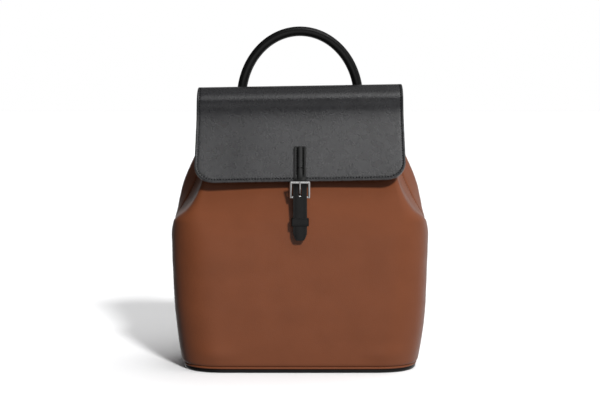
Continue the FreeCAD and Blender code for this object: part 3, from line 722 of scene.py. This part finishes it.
def beside_seam(heights_wanted, from_seam):
    """Points and normals on the front panel at a distance from its right side seam, for each height."""
    grid, normal = panels["front"]
    spots, outs = [], []
    for z in heights_wanted:
        i = int(np.clip(np.searchsorted(heights, z), 1, len(heights) - 1))
        share = (z - heights[i - 1]) / (heights[i] - heights[i - 1])
        row = (grid[i - 1] * (1 - share) + grid[i] * share)[::-1]
        out = (normal[i - 1] * (1 - share) + normal[i] * share)[::-1]
        run = lengths(row)
        spots.append(at_length_by(run, row, [from_seam])[0])
        outs.append(at_length_by(run, out, [from_seam])[0])
    return np.array(spots), unit(np.array(outs))


def track_surface(spots, outs):
    """Surface along a track of points with outward directions."""
    run = lengths(spots)

    def surface(u, t, height):
        """Points at t along the track and a height above it; the track has no width."""
        where = np.asarray(t, float).ravel()
        spot = at_length_by(run, spots, where)
        away = unit(at_length_by(run, outs, where))
        return (spot + away * np.broadcast_to(height, np.shape(t)).ravel()[:, None]).reshape(*np.shape(t), 3)
    return surface, run[-1]


spots, outs = beside_seam(np.linspace(11, 258, 160), SEAM_STITCH_INSET)
for name, flip in (("right", 1), ("left", -1)):
    surface, run = track_surface(spots * [flip, 1, 1], outs * [flip, 1, 1])
    seam = stitches(f"seam_stitches_{name}", surface, [(0, 0), (0, run)], BROWN_THREAD, -0.05, radius=0.27)
    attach(seam, "bag")


# ================================================================ base, piping, lining and mouth binding
BASE_HIGH = 3.9
BASE_LOW = 0.25
PIPING_RADIUS = 1.15
PIPING_Z = 5.1
LINING_OUT = 2.62
LINING_IN = 3.4


def full_outline(values):
    """Closed outline, anticlockwise from the front centre."""
    half, _ = half_outline(values)
    half = evenly(half, 160)
    return np.concatenate([half[:-1], (half * [-1, 1])[:0:-1]])


def ring_at(line, inset, z):
    """Closed outline moved inwards and set at a height."""
    tangent = unit(np.roll(line, -1, axis=0) - np.roll(line, 1, axis=0))
    inward = np.stack([-tangent[:, 1], tangent[:, 0]], axis=-1)
    moved = line + inward * inset
    return np.column_stack([moved, np.full(len(line), z)])


def shrunk(line, scale, z):
    """Closed outline scaled towards its middle."""
    return np.column_stack([line * [scale, scale], np.full(len(line), z)])


base_line = full_outline([-55.5, 121.2, -54.5, 45, 121.8, 0, 8, 121.2, 54.5, 45, 55.5])
BASE_EDGE = [(3.2, 0.12), (2.0, 0.0), (1.1, 0.1), (0.45, 0.55), (0.1, 1.2), (0, 2.1), (0.1, 3.0), (0.5, 3.6),
             (1.3, BASE_HIGH)]
rings = [shrunk(base_line, s, BASE_LOW) for s in (0.02, 0.3, 0.6, 0.85, 0.93)]
rings += [ring_at(base_line, inset, z) for inset, z in BASE_EDGE]
rings += [shrunk(base_line, s, BASE_HIGH) for s in (0.9, 0.6, 0.3, 0.02)]
base = mesh_object("base_leather", *loft_rings(rings), [SMOOTH], sharp=60)
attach(base, "bag")
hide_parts("base_panel")

rings = []
for turn in np.arange(12) * math.pi / 6:
    inset = 0.2 - PIPING_RADIUS * math.cos(turn)
    rings.append(ring_at(base_line, inset, PIPING_Z + PIPING_RADIUS * math.sin(turn)))
piping = mesh_object("base_piping_roll", *loft_rings(rings, True), [BROWN])
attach(piping, "bag")
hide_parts("base_piping")

inner_heights = np.concatenate([np.linspace(7.6, 12, 5), np.linspace(14, 262.5, 110), [263.6]])
inner_values = level_values(inner_heights)
outer_rings, inner_rings = [], []
for values, z in zip(inner_values, inner_heights):
    line = full_outline(values)
    ring = ring_at(line, LINING_OUT, z)
    sag = 0.35 * (1 + ripple(ring, 55, 9)) + 0.12 * (1 + ripple(ring, 17, 10))
    sag *= ease(z, 10, 40) * (1 - ease(z, 235, 260))
    centre_out = unit(ring * [1, 1, 0])
    outer_rings.append(ring)
    inner_rings.append(ring_at(line, LINING_IN, z) - centre_out * sag[:, None] * 1.4)
floor_line = full_outline(inner_values[0])
under, over = ring_at(floor_line, LINING_OUT, 0)[:, :2], ring_at(floor_line, LINING_IN, 0)[:, :2]
floor_outer = [shrunk(under, s, 6.7) for s in (0.02, 0.3, 0.6, 0.9, 0.985)]
floor_inner = [shrunk(over, s, 7.5) for s in (0.985, 0.9, 0.6, 0.3, 0.02)]
rings = floor_outer + outer_rings + inner_rings[::-1] + floor_inner
lining = mesh_object("lining_cloth", *loft_rings(rings), [TWILL])
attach(lining, "bag")
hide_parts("lining")

mouth_line = full_outline(level_values(np.array([BODY_HIGH]))[0])
under_line = full_outline(level_values(np.array([260.5]))[0])
# The binding's section round the mouth's edge: the outline that it follows, inset and height.
BINDING = [
    (under_line, [(-0.15, 260.5), (-0.7, 260.6), (-0.95, 261.2)]),
    (mouth_line, [(-0.95, 265.4), (-0.7, 266.7), (0.1, 267.5), (1.6, 267.65), (3.0, 267.4), (3.9, 266.6),
                  (4.1, 265.2)]),
    (under_line, [(4.1, 261.4), (3.85, 260.8), (3.6, 261.2)]),
    (mouth_line, [(3.5, 265.0), (2.1, 266.1), (0.0, 266.05), (-0.15, 265.4)]),
]
rings = [ring_at(line, inset, z) for line, section in BINDING for inset, z in section]
binding = mesh_object("mouth_binding_leather", *loft_rings(rings, True), [SMOOTH])
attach(binding, "bag")
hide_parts("mouth_binding")


# ================================================================ yoke and flap
YOKE_TO_EDGE = [
    (52.8, 228.0), (50.1, 240.0), (47.4, 252.0), (45.3, 264.0), (42.5, 274.5), (35.9, 284.4),
    (31.9, 287.0), (22.0, 290.4), (9.0, 291.5), (-4.0, 289.4), (-12.6, 284.2), (-16.4, 278.6),
    (-18.0, 271.0), (-21.4, 261.0), (-28.9, 246.5), (-38.4, 231.0), (-48.3, 215.5), (-60.1, 196.2),
]
FLAP_HALF = 106.8
FLAP_THICK = 3.0
FLAP_CORNER = 20
YOKE_THICK = 2.4
YOKE_CORNER = 8
SKEW = 0.0165
flap_line = spline(YOKE_TO_EDGE, 900)
crown_top = int(np.argmin(np.abs(flap_line[:, 0] - 9.0)))
yoke_line = flap_line[:crown_top + 1]
leaf_line = flap_line[crown_top:]
yoke_long = lengths(yoke_line)[-1]
leaf_long = lengths(leaf_line)[-1]


def skewed(points, u, share):
    """Points raised towards the right-hand side: the flap hangs a little askew."""
    points = np.array(points)
    points[..., 2] += SKEW * u * share
    return points


def yoke_surface(u, t, height):
    """Yoke and rear half of the crown, level at the yoke's lower edge and askew at the crown."""
    u, t = np.broadcast_arrays(np.asarray(u, float), np.asarray(t, float))
    return skewed(yoke_level(u, t, height), u, ease(t, 20, yoke_long - 12))


yoke_level = profile_surface(yoke_line)
leaf_surface = profile_surface(leaf_line)


def leaf_shape(u, t, height):
    """Flap leaf: its side profile, a slight bow along its lower edge and soft unevenness."""
    u, t = np.broadcast_arrays(np.asarray(u, float), np.asarray(t, float))
    far = ease(t, 30, leaf_long)
    wave = 0.35 * ripple(np.stack([u, t, 0 * u], axis=-1), 80, 21) * far
    bow = 0.9 * far * (1 - (np.abs(u) / FLAP_HALF) ** 2)
    lift = 0.5 * far * ease(np.abs(u), 70, 108)
    return skewed(leaf_surface(u, t, height + wave + lift - bow * 0.5), u, 1.0)


PEBBLED_LOOKS = [PEBBLED, LINER, EDGE_PAINT_AND_HIGHLIGHT]
flap_front = cut_piece("flap_leaf", leaf_shape, leaf_long, FLAP_HALF, FLAP_THICK, PEBBLED_LOOKS,
                       low_radius=FLAP_CORNER, rim=4.3, step=1.6, columns=110, round_edge=0.9, crease=0.0,
                       channel=0.22, square_top=True)
flap_path = edge_path(leaf_long, FLAP_HALF, STITCH_INSET, low_radius=FLAP_CORNER)
flap_seam = stitches("flap_stitches", leaf_shape, flap_path, BLACK_THREAD, FLAP_THICK / 2 - 0.22, radius=0.42)

flap_back = cut_piece("flap_yoke", yoke_surface, yoke_long, FLAP_HALF, YOKE_THICK, PEBBLED_LOOKS,
                      top_radius=YOKE_CORNER, rim=4.3, step=2.0, columns=90, round_edge=0.8, crease=0.0,
                      channel=0.22, square_low=True)
yoke_path = edge_path(yoke_long, FLAP_HALF, STITCH_INSET, top_radius=YOKE_CORNER, low=False)
yoke_path = np.concatenate([yoke_path[::-1], yoke_path * [-1, 1]])
yoke_seam = stitches("yoke_stitches", yoke_surface, yoke_path, BLACK_THREAD, YOKE_THICK / 2 - 0.2,
                     radius=0.42)

for piece in (flap_front, flap_seam):
    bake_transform(piece)
for piece in (flap_back, yoke_seam):
    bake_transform(piece)
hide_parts("flap_leather", "flap_board", "flap_lining", "crown_leather", "crown_lining")
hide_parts("back_yoke")


# ================================================================ closing strap, chape, keeper, metalwork
FOLD_RADIUS = 1.82
PRONG_HOLE = (1.4, 0.8, 11.4)
STRAP_THICK = 1.7
STRAP_STITCH_X = 3.4
KEEPER_HALF_LONG = 4.05


def round_box_ring(half_x, y0, y1, radius, z):
    """Closed rounded rectangle around a strap, at one height."""
    points = []
    inner_x = half_x - radius
    low_y, high_y = y0 + radius, y1 - radius
    corners = ((inner_x, high_y), (-inner_x, high_y), (-inner_x, low_y), (inner_x, low_y))
    for turn, (cx, cy) in enumerate(corners):
        for a in np.linspace(0, math.pi / 2, 8) + turn * math.pi / 2:
            points.append((cx + radius * math.cos(a), cy + radius * math.sin(a), z))
    points = np.array(points)
    dense = []
    for i, p in enumerate(points):
        to_next = points[(i + 1) % len(points)] - p
        steps = 6 if i % 8 == 7 else 1
        dense.extend([p + to_next * k / steps for k in range(steps)])
    return np.array(dense)


def keeper_loop(name, half_x, y0, y1, low, high, place):
    """Leather loop with rounded edges. place turns its own frame into the bag's."""
    edge = [(0, 0.45), (-0.12, 0.12), (-0.4, 0), (-0.75, 0.05), (-1.1, 0.4)]
    rings = []
    for out, z in [(out, low + z) for out, z in edge] + [(out, high - z) for out, z in edge[::-1]]:
        rings.append(place(round_box_ring(half_x + out, y0 - out, y1 + out, 1.5 + max(out, -0.9), z)))
    points, faces = loft_rings(rings, True)
    return mesh_object(name, points, faces, [SMOOTH], sharp=70)


def slot_cutter(half_wide, low, high, y0, y1, place):
    """Long round-ended cutter through a strap, along Z."""
    ring = []
    for start, middle in ((0, high - half_wide), (math.pi, low + half_wide)):
        for a in np.linspace(start, start + math.pi, 13):
            ring.append((half_wide * math.cos(a), middle + half_wide * math.sin(a)))
    rings = [place(np.array([(x, y, z) for x, z in ring])) for y in (y0, y1)]
    return mesh_object("cutter", *loft_rings(rings), [EDGE_PAINT_AND_HIGHLIGHT])


def folded_chape(name, half_wide, long, place):
    """Leather folded round the heel bar and back on itself, slotted for the prong."""
    line = [(-0.5, -long), (-0.5, -12), (-0.4, -6)]
    turn = np.linspace(-0.5, math.pi + 0.5, 14)
    line += [(FOLD_RADIUS * math.cos(a), FOLD_RADIUS * math.sin(a)) for a in turn]
    line += [(-1.72, -6), (-1.7, -12), (-1.7, -long)]
    path = spline(line, 160)
    run = lengths(path)[-1]
    base_surface = profile_surface(path)
    piece = cut_piece(name, lambda u, t, h: place(base_surface(u, t, h)), run, half_wide, 1.0,
                      [SMOOTH, SMOOTH, EDGE_PAINT_AND_HIGHLIGHT], rim=1.8, step=0.8, columns=10, round_edge=0.3, crease=0)
    cut(piece, [slot_cutter(1.7, -3.4, 5.5, -6, 6, place)])
    return piece


HEEL = np.array([0.0, -62.0, 180.2])


def at_heel(points):
    """From the closing buckle's own frame into the bag's."""
    return np.asarray(points) + HEEL


CLOSING_LINE = [
    (-42.6, 230.6), (-49.0, 220.0), (-55.6, 209.2), (-61.4, 199.7), (-64.0, 193.5),
    (-65.3, 187.0), (-65.3, 180.0), (-65.3, 160.0), (-65.3, 136.8),
]
closing_line = spline(CLOSING_LINE, 300)
closing_long = lengths(closing_line)[-1]
closing_surface = profile_surface(closing_line)


def closing_half(t):
    """Half width of the closing strap: parallel, with a blunt tapered tip."""
    sewn_narrow = 0.7 * (1 - float(ease(t, 30, 50)))
    return 7.0 - sewn_narrow - 2.2 * float(ease(t, closing_long - 8.0, closing_long + 0.5))


def strap_swell(u, t):
    """Swollen middle of the closing strap, between its two stitch lines while it runs over the flap."""
    sewn = 1 - ease(t, 33, 40)
    middle = 0.6 * (1 - sewn) * np.maximum(0, 1 - (u / 5.5) ** 2)
    middle = middle + 0.9 * sewn * np.sqrt(np.maximum(0, 1 - (u / 2.9) ** 2))
    channel = 0.3 * bump_at(np.abs(u), STRAP_STITCH_X, 0.4) * sewn
    return middle * 0.9 - channel


closing = cut_piece("closing_strap_leather", closing_surface, closing_long, closing_half, STRAP_THICK,
                    [SMOOTH, LINER, STRAP_EDGE], top_radius=1.6, low_radius=2.0, rim=1.4, step=0.9,
                    columns=24, round_edge=0.5, crease=0.0, relief=strap_swell)
cut(closing, [slot_cutter(*PRONG_HOLE, -9, 3, at_heel)])
u_path = [(-STRAP_STITCH_X, 33.0), (-STRAP_STITCH_X, 2.6), (STRAP_STITCH_X, 2.6), (STRAP_STITCH_X, 33.0)]
cross_path = [(-STRAP_STITCH_X, 25.5), (STRAP_STITCH_X, 25.5)]
tab = stitches("closing_tab_stitches", closing_surface, u_path, BLACK_THREAD, 0.8, radius=0.42)
cross = stitches("closing_cross_stitches", closing_surface, cross_path, BLACK_THREAD, 1.7, radius=0.42)
chape = folded_chape("closing_chape_leather", 7.0, 34.0, at_heel)
keeper_low, keeper_high = -24.8 - KEEPER_HALF_LONG, -24.8 + KEEPER_HALF_LONG
keeper = keeper_loop("closing_keeper_leather", 8.9, -5.6, 1.5, keeper_low, keeper_high, at_heel)
for piece in (closing, tab, cross, chape):
    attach(piece, "flap_front")
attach(keeper, "closing_keeper")
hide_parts("closing_strap")
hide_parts("buckle_chape")
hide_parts("strap_keeper")

for node in ("buckle_frame", "buckle_prong", "snap_socket", "snap_stud", "snap_washer"):
    dress(node, NICKEL)


# ================================================================ rolled handle
HANDLE_X = 63.6
HANDLE_ARCH = 72.6
HANDLE_RADIUS = 5.2
TAB_LINE = [(55.9, 222.0), (54.6, 233.0), (52.6, 245.0), (52.0, 257.0)]


def handle_path():
    """Handle's middle line in space, left foot to right foot."""
    left = [(-HANDLE_X, y, z) for y, z in TAB_LINE + [(52.0, 268.0), (52.0, 280.0)]]
    turn = np.linspace(0, math.pi, 25)[1:-1]
    arch = [(-HANDLE_X * math.cos(a), 52.0, 280.0 + HANDLE_ARCH * math.sin(a)) for a in turn]
    right = [(-x, y, z) for x, y, z in left[::-1]]
    return spline(left + arch + right, 420)


path = handle_path()
run = lengths(path)
tangent = unit(np.gradient(path, axis=0))
across = unit(np.cross(np.array([0.0, 1.0, 0.0]), tangent))
thick = np.cross(tangent, across)
from_end = np.minimum(run, run[-1] - run)
round_share = ease(from_end, 26, 46)
tip = np.clip(from_end / 5.0, 0, 1)
end_shape = 0.45 + 0.55 * np.sqrt(np.maximum(1 - (1 - tip) ** 2, 0))
half_across = (8.0 * (1 - round_share) + HANDLE_RADIUS * round_share) * end_shape
half_thick = (1.3 * (1 - round_share) + HANDLE_RADIUS * round_share) * np.where(from_end < 0.6, 0.7, 1)
power = 2 / (4.5 * (1 - round_share) + 2 * round_share)
turns = np.linspace(0, 2 * math.pi, 33)[:-1]
rings = []
for i in range(len(path)):
    c, s = np.cos(turns), np.sin(turns)
    x = np.sign(c) * np.abs(c) ** power[i] * half_across[i]
    y = np.sign(s) * np.abs(s) ** power[i] * half_thick[i]
    seam_dip = 0.35 * round_share[i] * bump_at(turns, math.pi / 2, 0.12)
    rings.append(path[i] + across[i] * x[:, None] + thick[i] * (y - seam_dip * np.sign(y))[:, None])
handle = mesh_object("handle_leather", *loft_rings(rings), [SMOOTH])
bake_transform(handle)
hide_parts("handle_grip", "handle_tab_right", "handle_tab_left")


def handle_seam_surface(u, t, height):
    """Along the handle's rear seam, beside it by u."""
    t = np.asarray(t, float)
    spot = at_length_by(run, path, t.ravel())
    out = at_length_by(run, thick, t.ravel())
    side = at_length_by(run, across, t.ravel())
    aside = np.broadcast_to(u, t.shape).ravel()[:, None]
    lift = np.broadcast_to(height, t.shape).ravel()[:, None]
    rise = np.sqrt(HANDLE_RADIUS ** 2 - aside ** 2)
    return (spot + side * aside + out * (rise + lift)).reshape(*t.shape, 3)


seam_path = [(1.3, 50), (1.3, run[-1] - 50)]
seam = stitches("handle_seam_stitches", handle_seam_surface, seam_path, BLACK_THREAD, 0.0, radius=0.27)
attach(seam, "handle")

tab_line = spline(TAB_LINE, 80)
for side, x in (("right", HANDLE_X), ("left", -HANDLE_X)):
    tab_surface = profile_surface(tab_line, x)
    ring = [(-5.6, 2.6), (5.6, 2.6), (5.6, 22), (-5.6, 22), (-5.6, 2.6), (5.6, 22)]
    sewn = stitches("handle_tab_stitches_" + side, tab_surface, ring, BLACK_THREAD, 1.32, radius=0.3)
    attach(sewn, "bag")
dress("handle_core", CORD)
dress("base_board", BOARD)


# ================================================================ shoulder straps
TOP = np.array([32.0, 58.5, 236.0])
FOOT = np.array([88.0, 65.5, 24.0])
down = unit(FOOT - TOP)
away = unit(np.array([0.0, 1.0, 0.0]) - down * down[1])
aside = np.cross(-away, down)
UPPER_LINE = [(7.0, 1.0), (16, 10.0), (36, 24.0), (62, 34.0), (84, 36.0), (110, 36.0), (133, 36.0)]
LOWER_LINE = [(95, 40.9), (125, 40.9), (150, 40.9), (166, 39.0), (182, 32.0), (198, 19.0), (212.4, 1.0)]
STUB_LINE = [(48.9, 262.0), (51.6, 251.0), (55.0, 242.6), (57.8, 239.6)]
STRAP_HEEL = TOP + down * 139.0 + away * 37.6
LOWER_HALF = 9.0
ANCHOR_X = 88.0
HOLE_STEP = 11.0
HOLE_HALF = 1.5


def strap_point(along, off):
    """Point in the middle of the right strap, along it and away from the back."""
    return TOP + down * along + away * off


def sweep_surface(line, sides, outs):
    """Surface along a line in space, with its own sideways and outward directions."""
    run = lengths(line)

    def surface(u, t, height):
        """Points at u aside, t along and a height above the line."""
        u, t, height = np.broadcast_arrays(*[np.asarray(v, float) for v in (u, t, height)])
        where = t.ravel()
        spot = at_length_by(run, line, where)
        side = unit(at_length_by(run, sides, where))
        out = unit(at_length_by(run, outs, where))
        return (spot + side * u.ravel()[:, None] + out * height.ravel()[:, None]).reshape(*u.shape, 3)
    return surface, run[-1]


def strap_surface(points, first_side, last_side):
    """Surface of a strap that follows points in space."""
    line = spline(points, 300)
    heading = unit(np.gradient(line, axis=0))
    share = np.linspace(0, 1, len(line))[:, None]
    blend_at = ease(share, 0.05, 0.3)
    side = unit(first_side * (1 - blend_at) + last_side * blend_at)
    side = unit(side - heading * np.sum(side * heading, axis=1)[:, None])
    return sweep_surface(line, side, unit(np.cross(side, heading)))


def at_strap_heel(points):
    """From the shoulder buckle's frame into the bag's: X across, -Y away from the back, Z along the strap."""
    points = np.asarray(points)
    return STRAP_HEEL + points[..., :1] * aside - points[..., 1:2] * away + points[..., 2:3] * down


stub_points = [np.array([32.0, y, z]) for y, z in STUB_LINE]
upper_points = stub_points + [strap_point(a, b) for a, b in UPPER_LINE]
upper_surface, upper_long = strap_surface(upper_points, np.array([1.0, 0, 0]), aside)
lower_points = [strap_point(a, b) for a, b in LOWER_LINE]
lower_surface, lower_long = strap_surface(lower_points, aside, aside)
stub_long = lengths(spline(stub_points, 60))[-1] + 3


def upper_half(t):
    """Half width of the padded strap: narrow at the yoke, wide on the shoulder, narrow at the buckle."""
    at_yoke = 9.0 - 1.0 * float(ease(t, 4, stub_long))
    widening = float(ease(t, stub_long + 4, stub_long + 44))
    near_buckle = float(ease(t, stub_long + 78, stub_long + 112))
    return at_yoke + 5.6 * widening * (1 - near_buckle) + 0.8 * near_buckle


def puff(u, t):
    """Padding that swells the middle of the strap."""
    share = ease(t, stub_long + 8, stub_long + 40) * (1 - ease(t, stub_long + 84, stub_long + 110))
    return 1.1 * share * np.maximum(0, 1 - (u / 11.0) ** 2)


def shoulder(side, flip):
    """One shoulder strap with its buckle, keeper and anchors."""
    body = "shoulder_strap_" + side

    def flipped(surface):
        """The surface on this strap's side of the bag."""
        return lambda u, t, h: surface(u, t, h) * flip

    def place(points):
        """From the shoulder buckle's frame into the bag's, on this side."""
        return at_strap_heel(points) * flip

    def sew(name, surface, path, height):
        """Row of black stitches on this strap."""
        return stitches(f"shoulder_{name}_{side}", flipped(surface), path, BLACK_THREAD, height, radius=0.3)

    def leather_piece(name, surface, long, half, thick, back, **more):
        """Piece of this strap in smooth leather, with its back material and painted edges."""
        looks = [SMOOTH, back, EDGE_PAINT_AND_HIGHLIGHT]
        return cut_piece(f"shoulder_{name}_{side}", flipped(surface), long, half, thick, looks, **more)

    upper = leather_piece("upper_leather", upper_surface, upper_long, upper_half, 3.0, LINER, top_radius=4.5,
                          low_radius=4.5, rim=4.3, step=1.6, columns=14, round_edge=1.1, crease=0.18,
                          channel=0.3, relief=puff)
    path = edge_path(upper_long, upper_half, STITCH_INSET, top_radius=4.5, low_radius=4.5, top=True)
    sewn = sew("upper_stitches", upper_surface, path, 1.5 - 0.2)
    for piece in (upper, sewn):
        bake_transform(piece)

    lower = leather_piece("lower_leather", lower_surface, lower_long, LOWER_HALF, STRAP_THICK, LINER,
                          top_radius=5, low_radius=3, rim=2.3, step=1.2, columns=14, round_edge=0.45,
                          crease=0.16)
    cutters = [slot_cutter(*PRONG_HOLE, -8, 1, place)]
    for i in (1, 2, 3):
        middle = -HOLE_STEP * i
        cutters.append(slot_cutter(HOLE_HALF, middle - HOLE_HALF, middle + HOLE_HALF + 0.001, -8, -2, place))
    cut(lower, cutters)
    fold = folded_chape(f"shoulder_chape_leather_{side}", LOWER_HALF, 22.0, place)
    loop_low, loop_high = -30.0 - KEEPER_HALF_LONG, -30.0 + KEEPER_HALF_LONG
    loop = keeper_loop(f"shoulder_keeper_leather_{side}", 10.9, -5.6, 4.6, loop_low, loop_high, place)
    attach(lower, body)
    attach(fold, body)
    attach(loop, "shoulder_loop_" + side)

    anchor_line = spline([(60.0, 8.3), (60.0, 16.0), (60.0, 26.0), (60.0, 37.7)], 60)
    anchor_surface = profile_surface(anchor_line, ANCHOR_X, -1)
    tab = leather_piece("anchor_leather", anchor_surface, lengths(anchor_line)[-1], 10.0, 2.0, LINER,
                        top_radius=3, low_radius=3, rim=2.3, step=1.2, columns=12, round_edge=0.6,
                        crease=0.15)
    flange_line = spline([(60.6, 22.4), (62.6, 23.2), (65.0, 22.7)], 20)
    flange_surface = profile_surface(flange_line, ANCHOR_X, -1)
    flange = leather_piece("anchor_fold", flange_surface, lengths(flange_line)[-1], 9.6, 2.0, SMOOTH,
                           rim=1.0, step=0.8, columns=12, round_edge=0.6, crease=0)
    ring = [(-7, 3), (7, 3), (7, 11.5), (-7, 11.5), (-7, 3), (7, 11.5)]
    more = [(-7, 19), (7, 19), (7, 26.4), (-7, 26.4), (-7, 19)]
    low_sewn = sew("anchor_stitches", anchor_surface, ring, 1.05)
    high_sewn = sew("anchor_seam", anchor_surface, more, 1.05)
    for piece in (tab, flange, low_sewn, high_sewn):
        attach(piece, "bag")

    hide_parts(f"shoulder_stub_{side}", f"shoulder_strap_upper_{side}")
    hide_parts(f"shoulder_strap_lower_{side}")
    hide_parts(f"shoulder_chape_{side}")
    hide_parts(f"shoulder_keeper_{side}")
    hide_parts(f"shoulder_anchor_{side}")
    for node in ("shoulder_buckle_frame_", "shoulder_buckle_prong_"):
        dress(node + side, NICKEL)


shoulder("right", np.array([1.0, 1.0, 1.0]))
shoulder("left", np.array([-1.0, 1.0, 1.0]))


# ================================================================ slip pocket
def shrinking(ring, shares):
    """Smaller and smaller copies of a ring, at its own height."""
    middle = np.mean(ring, axis=0)
    return [middle + (ring - middle) * share for share in shares]


pocket_rings = []
for z in (120.0, 122, 126, 140, 160, 180, 200, 208, 210, 211.4, 212):
    slack = 0.8 * math.sin(math.pi * (z - 120) / 92)
    turned_in = 1.5 if z < 121 else 0.3 if z < 123 else 0
    pocket_rings.append(round_box_ring(66.0 - turned_in, 38.0 + 0.6 - slack * 0.5, 46.0, 2.5, z))
inner_heights = [212.0, 211.2, 208, 200, 180, 160, 140, 126, 122.0]
inside = [round_box_ring(64.9, 39.4, 45.0, 2.0, z) for z in inner_heights]
floor = shrinking(inside[-1], (0.6, 0.05))
under = shrinking(pocket_rings[0], (0.05, 0.6))
pocket = mesh_object("slip_pocket_cloth", *loft_rings(under + pocket_rings + inside + floor), [TWILL])
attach(pocket, "bag")
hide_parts("inner_pocket")
hem_line = np.array([(x, 38.4, 206.5) for x in np.linspace(-63, 63, 60)])
hem_surface, hem_long = track_surface(hem_line, np.tile([0.0, -1.0, 0.0], (60, 1)))
hem = stitches("pocket_hem_stitches", hem_surface, [(0, 0), (0, hem_long)], BROWN_THREAD, 0.15, radius=0.25)
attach(hem, "bag")


# ================================================================ floor, light and camera
LENS_MM = 73.758
CAMERA_PLACE = (0, -1.2915, 0.2688)
CAMERA_TILT = 0.0741
SUN_STRENGTH = 3.6
SUN_FROM = (0.325, -0.769, 0.551)
floor_mesh = bpy.data.meshes.new("studio_floor")
floor_mesh.from_pydata([(-40, -20, 0), (40, -20, 0), (40, 90, 0), (-40, 90, 0)], [], [(0, 1, 2, 3)])
floor_piece = bpy.data.objects.new("studio_floor", floor_mesh)
bpy.context.scene.collection.objects.link(floor_piece)
floor_material, tree, place = new_material("studio_floor")
shader = tree.nodes["Principled BSDF"]
paper = ramp_node(tree, noise_node(tree, place, 3, 2), (0.83, 0.83, 0.835), (0.85, 0.85, 0.855))
tree.links.new(paper, shader.inputs["Base Color"])
shader.inputs["Roughness"].default_value = 0.8
shader.inputs["Specular IOR Level"].default_value = 0.1
floor_piece.data.materials.append(floor_material)
floor_piece.visible_diffuse = False
floor_piece.visible_glossy = False
floor_piece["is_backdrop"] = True

world = bpy.data.worlds.new("studio")
bpy.context.scene.world = world
world.use_nodes = True
sky_tree = world.node_tree
sky = sky_tree.nodes["Background"]
way = sky_tree.nodes.new("ShaderNodeTexCoord")
parts = add_node(sky_tree, "SeparateXYZ", {}, {"Vector": way.outputs["Generated"]})


def sky_part(axis, start, end, low, high):
    """Share of the soft surroundings that changes along one direction."""
    return range_node(sky_tree, parts.outputs[axis], low, high, start, end)


def sky_sum(first, second, operation):
    """Two shares added or multiplied, or the larger of them."""
    return add_node(sky_tree, "Math", {}, {0: first, 1: second}, operation=operation).outputs[0]


overhead = sky_sum(sky_part("Z", 0.66, 0.86, 0.0, 1.45), sky_part("X", -0.3, 0.3, 0.0, 2.2), "MULTIPLY")
seen = sky_tree.nodes.new("ShaderNodeLightPath")
shown = sky_sum(sky_part("Y", -0.5, -0.1, 1.0, 0.1), seen.outputs["Is Diffuse Ray"], "MAXIMUM")
overhead = sky_sum(overhead, shown, "MULTIPLY")
behind = sky_sum(sky_part("Y", 0.2, 0.85, 0.05, 0.6), sky_part("X", -0.6, -0.4, 0.05, 1.0), "MULTIPLY")
behind = sky_sum(behind, sky_part("Z", 0.05, 0.35, 1.0, 0.1), "MULTIPLY")
around = sky_sum(behind, sky_part("X", 0.0, 0.9, 0.0, 0.3), "ADD")
below = sky_part("Z", -0.5, 0.0, 0.2, 0.03)
facing = sky_part("Y", -0.99, -0.88, 0.6, 0.0)
total = sky_sum(sky_sum(overhead, around, "ADD"), sky_sum(below, facing, "ADD"), "ADD")
pick = add_node(sky_tree, "Mix", {"B": 1.0}, {"Factor": seen.outputs["Is Camera Ray"], "A": total})
sky_tree.links.new(pick.outputs["Result"], sky.inputs["Strength"])
sky.inputs["Color"].default_value = (1, 1, 1, 1)

sun = bpy.data.lights.new("key", "SUN")
sun.energy = SUN_STRENGTH
sun.angle = math.radians(7)
sun_rig = bpy.data.objects.new("key", sun)
sun_rig.rotation_euler = Vector(SUN_FROM).to_track_quat("Z", "Y").to_euler()
sun_rig.visible_glossy = False
bpy.context.scene.collection.objects.link(sun_rig)

camera_data = bpy.data.cameras.new("camera")
camera_data.sensor_width = 36
camera_data.lens = LENS_MM
camera = bpy.data.objects.new("camera", camera_data)
camera.location = CAMERA_PLACE
camera.rotation_euler = (math.pi / 2 - CAMERA_TILT, 0, 0)
bpy.context.scene.collection.objects.link(camera)
bpy.context.scene.camera = camera
bpy.context.scene.view_settings.view_transform = "Standard"

visual_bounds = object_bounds()
for line in (cad_bounds, visual_bounds):
    json.dumps([[float(v) for v in corner] for corner in line]) + "\n"
